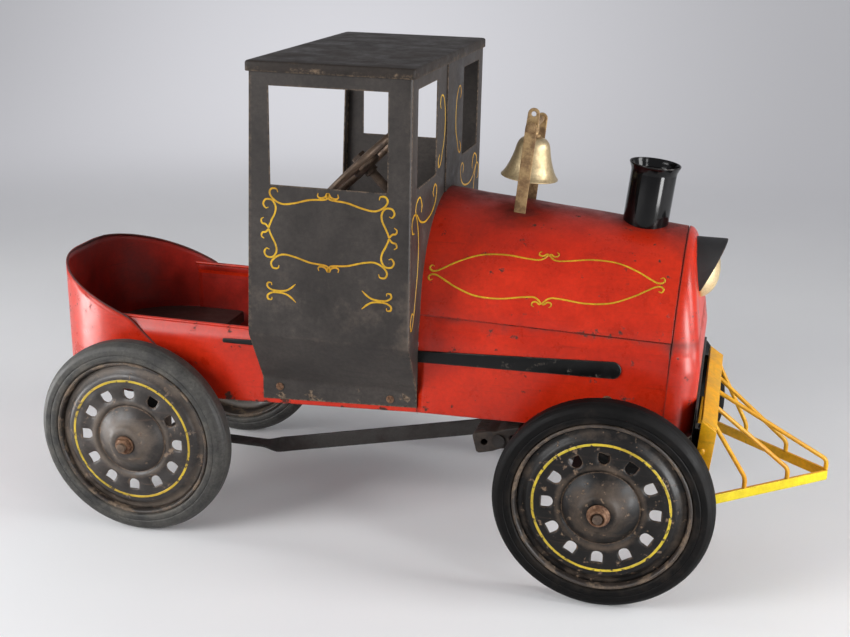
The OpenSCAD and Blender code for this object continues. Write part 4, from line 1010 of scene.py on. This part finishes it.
track = {"front": 181.0, "rear": 164.0}
for word, hand in hands:
    front = wheelPlace(wheelbase, track["front"], hand)
    buildWheel("front." + word, front, "front_wheel_" + word, ["front_tyre_" + word, "front_disc_" + word],
               "tyreRubber", "wheelEnamel")
    buildWheel("rear." + word, wheelPlace(0, track["rear"], hand), "rear_axle" if hand < 0 else "rear_wheel_left",
               ["rear_tyre_" + word, "rear_disc_" + word], "oldRubber", "paleWheel")
    # round push-on cap over the end of the spindle
    makePiece("spindleCap." + word, ring(capSide, front, 0.7, turns=64), "rustySteel", "rusty_nut",
              ["front_nut_" + word], "knuckle_" + word, sharp=50)
nuts = merge(*[buildNut(wheelPlace(0, track["rear"], hand)) for word, hand in hands])
makePiece("rearNuts", nuts, "rustySteel", "rusty_nut", ["rear_nuts"], "rear_axle", sharp=40)
print("wheels")


axle = {"r": 5.48, "half": 206.6, "throw": 38.0, "crank": 60.0, "web": 17.5, "bend": 9.0, "pitch": 0.9}


def buildAxle():
    path = [(0, -axle["half"], axleZ)]
    for hand in (-1, 1):
        y, w, z = axle["crank"] * hand, axle["web"], axleZ + axle["throw"] * hand
        path += [(0, y - w, axleZ), (0, y - w, z), (0, y + w, z), (0, y + w, axleZ)]
    path.append((0, axle["half"], axleZ))
    parts = [rod(rounded(path, [0] + [axle["bend"]] * 8 + [0], steps=6, closed=False), axle["r"], sides=20)]
    for hand in (-1, 1):
        place = wheelPlace(0, track["rear"], hand)
        parts.append(collar(5.6, 8.4, -40.6, -10.6, place, 0.6, 40))
        thread = [(0.0, 38.5)]  # on the outer end, drawn coarse so that it shows
        for z in (k * axle["pitch"] for k in range(5)):
            thread += [(5.15, 38.6 + z), (5.5, 39.0 + z)]
        parts.append(spin(thread + [(4.6, 43.0), (0.0, 43.0)], place, turns=32, closed=False))
    makePiece("crankAxle", merge(*parts), "brownSteel", "dark_steel", ["rear_axle"], "rear_axle", sharp=50)


strap = {"bend": 150.0, "long": 305.0, "pedal": (455.0, -7.0), "rise": 69.0, "half": (9.9, 1.9), "start": 7.5,
         "lean": 12.0, "twist": (130, 40)}


# flat strap: eye round the crank pin, flat run, quarter twist, then upright to the pedal arm
def buildStrap(word, hand):
    slope = atan2(strap["rise"], strap["long"])
    far, down = strap["pedal"]
    turn = 0 if hand < 0 else atan2(strap["rise"], far) - atan2(down, far)
    place = (Matrix.Translation((0, axle["crank"] * hand, axleZ + axle["throw"] * hand))
             @ Matrix.Rotation(turn, 4, "Y"))
    run = strap["long"] / cos(slope)
    a, b = strap["half"]
    section = rounded([(-a, -b), (a, -b), (a, b), (-a, b)], 0.9, steps=3)
    start, long = strap["twist"]
    stations = [(strap["start"] + i * 14, 0) for i in range(9)]
    stations += [(start + long * i / 16, 90 * (0.5 - 0.5 * cos(pi * i / 16))) for i in range(17)]
    stations += [(start + long + (run - long / 2) * k / 10, 90) for k in range(1, 11)]
    rows = []
    for s, twist in stations:
        past = max(0, s - strap["bend"])
        x, z = polar(past, slope)
        lean = Matrix.Rotation(-slope * min(past / strap["lean"], 1), 3, "Y")
        lean = lean @ Matrix.Rotation(radians(twist), 3, "X")
        rows.append([place @ (Vector((s - past + x, 0, z)) + lean @ Vector((0, p[0], p[1]))) for p in section])
    x, z = polar(run, slope)
    end = place @ Matrix.Translation((strap["bend"] + x, 0, z)) @ outward()
    shape = merge(loft(rows, closed=True, capped=True), collar(5.6, 9.4, -a, a, place @ outward(), 0.7, 40),
                  collar(5.3, 11.9, -1.95, 1.95, end, 0.5, 40))
    makePiece("driveStrap." + word, shape, "darkSteel", "dark_steel", ["drive_rod_" + word], "drive_rod_" + word,
              sharp=50)


pedal = {"x": 455.0, "z": 158.0, "lean": -15.0, "half": 31.0, "high": 13.0, "inner": 68.6, "outer": 112.4,
         "holes": ((0, 5.2), (-18, 4), (18, 4)), "rib": 1.1, "ribFrom": 73.0, "ribStep": 8.6, "ribAt": 21.0,
         "ribHalf": 7.0}


def buildPedal(word, hand):
    w, h = pedal["half"], pedal["high"]
    top = [(w, h - 2), (w - 3, h), (10, h), (0, h - 2), (-10, h), (-w + 3, h), (-w, h - 2)]
    outline = rounded([(-x, -y) for x, y in top] + top, 2.2, steps=3)
    holes = [arc(x, 0, r, 0, 337.5, 15) for x, r in pedal["holes"]]
    lean = placed((pedal["x"], 0, pedal["z"]), pedal["lean"], "Y")
    parts = [plate(outline, lean @ upright(hand), pedal["inner"], pedal["outer"], holes=holes, soft=1.2)]
    for y in (pedal["ribFrom"] + k * pedal["ribStep"] for k in range(5)):  # ribs across both treads
        for z in (0.5 - h, h - 0.5):
            for x in (-pedal["ribAt"], pedal["ribAt"]):
                ends = [lean @ Vector((x + d, y * hand, z)) for d in (-pedal["ribHalf"], pedal["ribHalf"])]
                parts.append(rod(ends, pedal["rib"], sides=8))
    makePiece("pedalBlock." + word, merge(*parts), "pedalRubber", "pedal_rubber", ["pedal_block_" + word],
              "pedal_block_" + word, sharp=45)


buildAxle()
for word, hand in hands:
    buildStrap(word, hand)
    buildPedal(word, hand)
print("drive")


# profiles are radius and height against the bell's top
bellSet = {"x": 456.0, "pivot": 96.0, "top": 79.0, "leg": (37.0, 39.5), "legHalf": 7.0, "lever": 112.0, "outer": [
    (4.2, 0), (11, -0.3), (15.5, -2.2), (18.6, -6), (20.4, -11), (21.8, -18), (23.6, -25), (26.4, -33), (29.4, -40),
    (32.2, -45), (35, -48.2), (34.9, -49)], "inner": [(33, -49), (29.6, -44.6), (26, -37), (22.6, -28), (19.8, -17),
                                                      (17.6, -8), (13, -3.4), (4.2, -2.5)]}


def buildBell():
    place = crownPlace(bellSet["x"])
    pivot, top, half, lever = bellSet["pivot"], bellSet["top"], bellSet["legHalf"], bellSet["lever"]
    cup = [(r, top + z) for r, z in bellSet["outer"] + bellSet["inner"]]
    makePiece("bellCup", ring(cup, place, 1.6, turns=96, steps=3), "castBrass", "brass", ["bell"], "bell", sharp=60)
    plane = place @ upright(1)
    inner, outer = bellSet["leg"]
    outline = [(-half, -8), (half, -8), (half, pivot)] + arc(0, pivot, half, 0, 180, 14) + [(-half, pivot)]
    legs = [plate(outline, plane, low, high, holes=[arc(0, pivot, 3.6, 0, 345, 23)])
            for low, high in ((-outer, -inner), (inner, outer))]
    makePiece("bellLegs", merge(*legs), "bracketBrass", "brown_steel", ["bell_bracket"], sharp=45)
    # yoke: pin with its heads, lever with a cord hole, stem and its two nuts
    pin = place @ Matrix.Translation((0, 0, pivot)) @ outward()
    parts = [collar(0.01, r, low, high, pin, soft, 32) for r, low, high, soft in (
        (4, -36.5, 36.5, 0.4), (3.45, -42.3, 42.3, 0.4), (5.5, 39.9, 42.4, 0.8), (5.5, -42.4, -39.9, 0.8))]
    outline = arc(0, pivot, 8, 200, 340, 12) + [(half, lever)] + arc(0, lever, half, 0, 180, 14) + [(-half, lever)]
    parts.append(plate(outline, plane, -34, -31, holes=[arc(0, lever, 3, 0, 345, 23)], soft=0.6))
    parts.append(collar(0.01, 3.95, top - 8, top + 18, place, 0.4, 32))
    for low, high in ((top + 0.2, top + 4), (top - 8, top - 3.2)):
        parts.append(hexStack(((low, 6.4), (low + 0.4, 7), (high - 0.4, 7), (high, 6.4)), place, capped=True))
    makePiece("bellYoke", merge(*parts), "bracketBrass", "brass", ["bell_yoke"], "bell", sharp=40)
    # clapper: eye, stem and ball
    eye = place @ Matrix.Translation((0, 0, top - 13)) @ outward()
    ball = [(y, top - 45 - x) for x, y in arc(0, 0, 6, 0, 165, 15)]
    ball += [(1.55, top - 38), (1.55, top - 16.4), (0, top - 16.4)]
    clapper = merge(collar(1.6, 3.7, -2.7, 2.7, eye, 0.5, 32), spin(ball, place, turns=32, closed=False))
    makePiece("bellClapper", clapper, "darkSteel", "dark_steel", ["bell_clapper"], "clapper", sharp=50)


# profile against the stack's radius and height
stack = {"x": 602.0, "r": 27.0, "high": 71.0, "side": [
    (0, -80), (0, -11), (0.6, -8), (2.2, -4), (3.4, -1.6), (3.5, -0.6), (3, 0), (1.9, -0.3), (0.4, -5), (-1.6, -10),
    (-1.6, -80)]}


def buildStack():
    path = [(stack["r"] + r, stack["high"] + z) for r, z in stack["side"]]
    makePiece("smokeStack", ring(path, crownPlace(stack["x"]), 0.8, turns=96, steps=3), "blackEnamel", "black_paint",
              ["smokestack"], sharp=60)


lamp = {"x": 669.0, "z": 364.0, "r": 35.0, "dome": [
    (-35, -12), (-5.2, -12), (-5.2, -0.6), (-1, 0), (0, 2.6), (-0.6, 6.5), (-2.4, 10.5), (-5.6, 14.8), (-10, 18.8),
    (-16, 22.2), (-24, 24.8), (-35, 25.9)], "visorR": 38.0, "visorBack": 662.0, "visorFront": 674.0,
        "visorTurn": 121.0}


def buildLamp():
    place = placed((lamp["x"], 0, lamp["z"]), 90, "Y")
    dome = spin([(lamp["r"] + r, z) for r, z in lamp["dome"]], place, closed=False)
    makePiece("lampDome", dome, "paleBrass", "brass", ["headlamp"], sharp=50)
    rows = []
    for k in range(49):
        z, y = polar(lamp["visorR"], radians(lamp["visorTurn"] * (k / 24 - 1)))
        long = lamp["visorFront"] + (z + 20) * 27 / 60 - lamp["visorBack"]
        rows.append([Vector((lamp["visorBack"] + long * t / 4, y, lamp["z"] + z)) for t in range(5)])
    makePiece("lampVisor", loft(rows), "mattBlack", "black_paint", ["lamp_visor"], thick=1.4, bevel=0.4)


buildBell()
buildStack()
buildLamp()
print("bell, stack, lamp")


pilot = {"beamX": 699.5, "z": 215.0, "half": 133.0, "t": 4.0, "rail": 110.0, "railH": 12.5, "tip": 849.0, "bar": 2.75,
         "lean": 30.0, "rivets": (-62, -30)}


def buildPilot():
    half, t, x0, z0 = pilot["half"], pilot["t"], pilot["beamX"], pilot["z"]
    yellow = {"skin": "yellowEnamel", "slot": "yellow_paint"}
    lean = placed((x0, 0, z0), pilot["lean"], "Y")
    y = half - t - 0.1
    beam = plate(rounded([(-10, -y), (10, -y), (10, y), (-10, y)], 0.9, steps=2), lean, -2, 2, soft=0.9)
    makePiece("pilotBeam", beam, nodes=["pilot_beam"], sharp=40, **yellow)
    tip, low, high = pilot["tip"] - 2.5, pilot["rail"], pilot["rail"] + pilot["railH"]
    reach = pilot["tip"] - x0 + 6
    turn, run = atan2(half - t, reach), hypot(reach, half - t)
    for word, hand in hands:
        outline = rounded([(x0 - 8.5, z0 + 7), (x0 + 9.5, z0 - 5), (x0 + 1, low), (x0 - 15, low)], 1.5, steps=3)
        leg = plate(outline, upright(hand), half - t, half, soft=0.8)
        makePiece("pilotLeg." + word, leg, nodes=["pilot_leg_" + word], sharp=40, **yellow)
        place = Matrix.Translation((tip, 0, low)) @ Matrix.Rotation(hand * (pi - turn), 4, "Z") @ upright(-1)
        outline = [(1.8, 0), (run - 4.2, 0), (run - 4.2, pilot["railH"]), (1.8, pilot["railH"])]
        points, faces = plate(rounded(outline, 0.8, steps=2), place, -2, 2, soft=0.7)
        # the two rails meet at the middle
        points = [p if p.y * hand > 0.1 else Vector((p.x, 0.1 * hand, p.z)) for p in points]
        rail = makePiece("pilotRail." + word, (points, faces), nodes=["pilot_rail_" + word], sharp=40, **yellow)
        # outer faces take the paler lemon copy, inner faces keep the gold: painted light and shade by facing
        rail.data.materials.append(finish["lemonLitEnamel"])
        for face in rail.data.polygons:
            face.material_index = 1 if face.normal.y * hand > 0.3 else 0
    bars = []
    for i in range(-2, 3):
        footY, topY = i * (half - t) * 0.32, i * (half - t) * 0.4
        footX = tip - abs(footY) * reach / (half - t) - (0 if i else 3)
        path = [(x0 + 4, topY, z0 - 4.6), (footX, footY, high + 13), (footX, footY, high + 0.1)]
        bars.append(rod(rounded(path, [0, 9, 0], steps=8, closed=False), pilot["bar"], sides=16))
    makePiece("pilotBars", merge(*bars), nodes=["pilot_bars"], sharp=50, **yellow)
    dome = [(0, 0.05)] + [(4 * x, 0.05 + 2.1 * y) for x, y in arc(0, 0, 1, 0, 90, 9)]
    heads = []
    for hand in (-1, 1):
        for down in pilot["rivets"]:
            place = Matrix.Translation((x0 - 3 + down * 0.08, half * hand, z0 + down)) @ outward(hand)
            heads.append(spin(dome, place, turns=32, closed=False))
    makePiece("pilotRivets", merge(*heads), nodes=["pilot_rivets"], sharp=60, **yellow)


buildPilot()
print("pilot")


helm = {"rim": [(70, -1.6), (73, -4.2), (83, -4.4), (87, -1.6), (87, 1.6), (83, 4.4), (73, 4.2), (70, 1.6)],
        "spoke": [(14, -7), (44, -6), (73, -8), (73, 8), (44, 6), (14, 7)],
        "hub": [(6.1, -6.9), (17, -6.9), (19.6, -4.5), (20, 4), (17, 7), (12, 8.9), (6.1, 8.9)]}


def buildHelm():
    parts = [ring(helm["rim"], columnPlace, 2.4, turns=96)]
    for k in range(3):
        place = columnPlace @ Matrix.Rotation(radians(180 + 120 * k), 4, "Z")
        parts.append(plate(rounded(helm["spoke"], 6), place, -1.5, 1.5, soft=0.7))
    parts.append(ring(helm["hub"], columnPlace, 1.4, turns=48))
    makePiece("steeringWheel", merge(*parts), "brownSteel", "brown_steel", ["steering_wheel"], "steering", sharp=45)


buildHelm()

# CAD pieces that stay, each with its finish and a softened edge
kept = {"cabEnamel": ["dash_panel"], "blackEnamel": ["pilot_bracket"],
        "darkSteel": ["column_bush", "tie_rod", "pedal_arm_right", "pedal_arm_left"],
        "wheelEnamel": ["front_axle_beam", "front_hangers", "column_bearing", "rear_hangers"],
        "brownSteel": ["knuckle_right", "knuckle_left", "steering_column", "axle_bushes", "pedal_shaft",
                       "shaft_bosses"]}
for skin, nodes in kept.items():
    for piece in (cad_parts[node] for node in nodes):
        for place in piece.material_slots:
            place.material = finish[skin]
        piece.modifiers.new("joined", "WELD").merge_threshold = 1e-5
        softEdge(piece, 0.5)
print("kept pieces", sum(len(nodes) for nodes in kept.values()))


# each stroke is knots in millimetres: one quarter of the hood's and the cab's designs, the whole of the front wall's
lining = {"wide": 2.4, "thin": 2.0, "proud": 0.22, "sunk": -0.12, "fade": 7.0, "hoodMid": (155, 0),
          "cabMid": (262, 416), "sprigMid": (262, 341)}
# long pointed panel on the hood: a bow with a curl at the middle and one past the tip
bow = [(8.5, 33.5), (11.2, 31.5), (10.4, 28.4), (6.4, 27.6), (2.6, 30.2), (1.2, 28.5), (9, 22.6), (24, 23.2),
       (50, 26.4), (78, 24.4), (102, 15.4), (118, 6.6), (126, 2.6), (131.5, 2.2), (134.8, 5.2), (133, 8.8),
       (129.4, 7.6)]
# framed panel under the cab window: waved edges, a pair of curls at each corner and in the middle of each side
panel = [[(11.5, 45.5), (12.2, 41.8), (8.8, 39.8), (3.6, 41.4), (0.9, 45.4), (0.6, 41.4), (4, 38.4), (22, 36.6),
          (40, 31.6), (54, 29.6), (64, 33.6), (69.5, 40.5), (67.5, 46.4), (61.5, 46.6), (59.8, 42.8)],
         [(77.5, 12.4), (80.6, 9.8), (79.4, 5.6), (75.4, 4.6), (71.8, 1.2), (70.4, 4.4), (67.4, 11), (63.6, 18.6),
          (62.8, 26.6), (67.2, 33.4), (74.6, 33.6), (77.6, 28.4), (74.8, 23.8), (71.4, 24.8)]]
# facing sprigs either side of a bare space
sprig = [(40, 11), (46, 5.6), (52, 2.2), (60, 1.0), (69, 1.6), (74.6, 5.2), (74.2, 9.6), (70, 10.2), (69.4, 7.2)]
# tall scrolls on the front wall, clear of the window and the hood
scrolls = [[(46, 543), (51, 549), (46, 558), (36, 556), (28, 544), (25, 526), (27, 506), (36, 490), (43, 478),
            (52, 474), (55, 482), (49, 489)],
           [(73, 443), (77, 450), (69, 457), (60, 451), (64, 437), (82, 426), (111, 422), (134, 427), (150, 438),
            (163, 440), (171, 432), (168, 421), (160, 419)],
           [(131, 437), (129, 446), (138, 456), (151, 453), (156, 443), (147, 428), (141, 406), (142, 376),
            (148, 350), (155, 326), (161, 311), (168, 306), (171, 316), (165, 325), (158, 322)]]


# a painted line: a thin raised ribbon along flat knots, laid on a surface and drawn out fine at both ends
def ribbon(knots, lay, wide):
    path = smoothPath(knots)
    run = [0.0]
    for a, b in zip(path, path[1:]):
        run.append(run[-1] + (b - a).length)
    proud, sunk = lining["proud"], lining["sunk"]
    rows = []
    for i, p in enumerate(path):
        along = heading(path, i)
        end = min(1.0, run[i] / lining["fade"], (run[-1] - run[i]) / lining["fade"])
        across = Vector((-along.y, along.x)) * (wide / 2 * (0.4 + 0.6 * end))
        section = ((-1, sunk), (-0.75, proud), (0.75, proud), (1, sunk))
        rows.append([lay(*(p + across * s), lift) for s, lift in section])
    return loft(rows, closed=True, capped=True)


# one corner of a design, repeated by mirroring about its middle
def fourWays(strokes, middle):
    return [[(middle[0] + x * a, middle[1] + y * b) for x, y in stroke]
            for stroke in strokes for a in (-1, 1) for b in (-1, 1)]


def buildLining(word, hand):
    def onSkin(along, rise, lift):
        angle = (59 + 14 * (along - 155) / 250 + rise) / hoodRadius(along)
        return onHood(along, angle if hand > 0 else pi - angle, lift)

    def onCab(x, z, lift):
        return Vector((x, hand * (cab["half"] + lift), z))

    def onWall(y, z, lift):
        return Vector((cab["laps"][hand][1] + lift, hand * y, z))
    cabStrokes = fourWays(panel, lining["cabMid"]) + fourWays([sprig], lining["sprigMid"])
    for name, strokes, lay, wide in (("hood", fourWays([bow], lining["hoodMid"]), onSkin, lining["thin"]),
                                     ("cab", cabStrokes, onCab, lining["wide"]),
                                     ("wall", scrolls, onWall, lining["wide"])):
        makePiece(name + "Lining." + word, merge(*[ribbon(s, lay, wide) for s in strokes]), "liningYellow",
                  "yellow_paint")


for word, hand in hands:
    buildLining(word, hand)
print("lining")
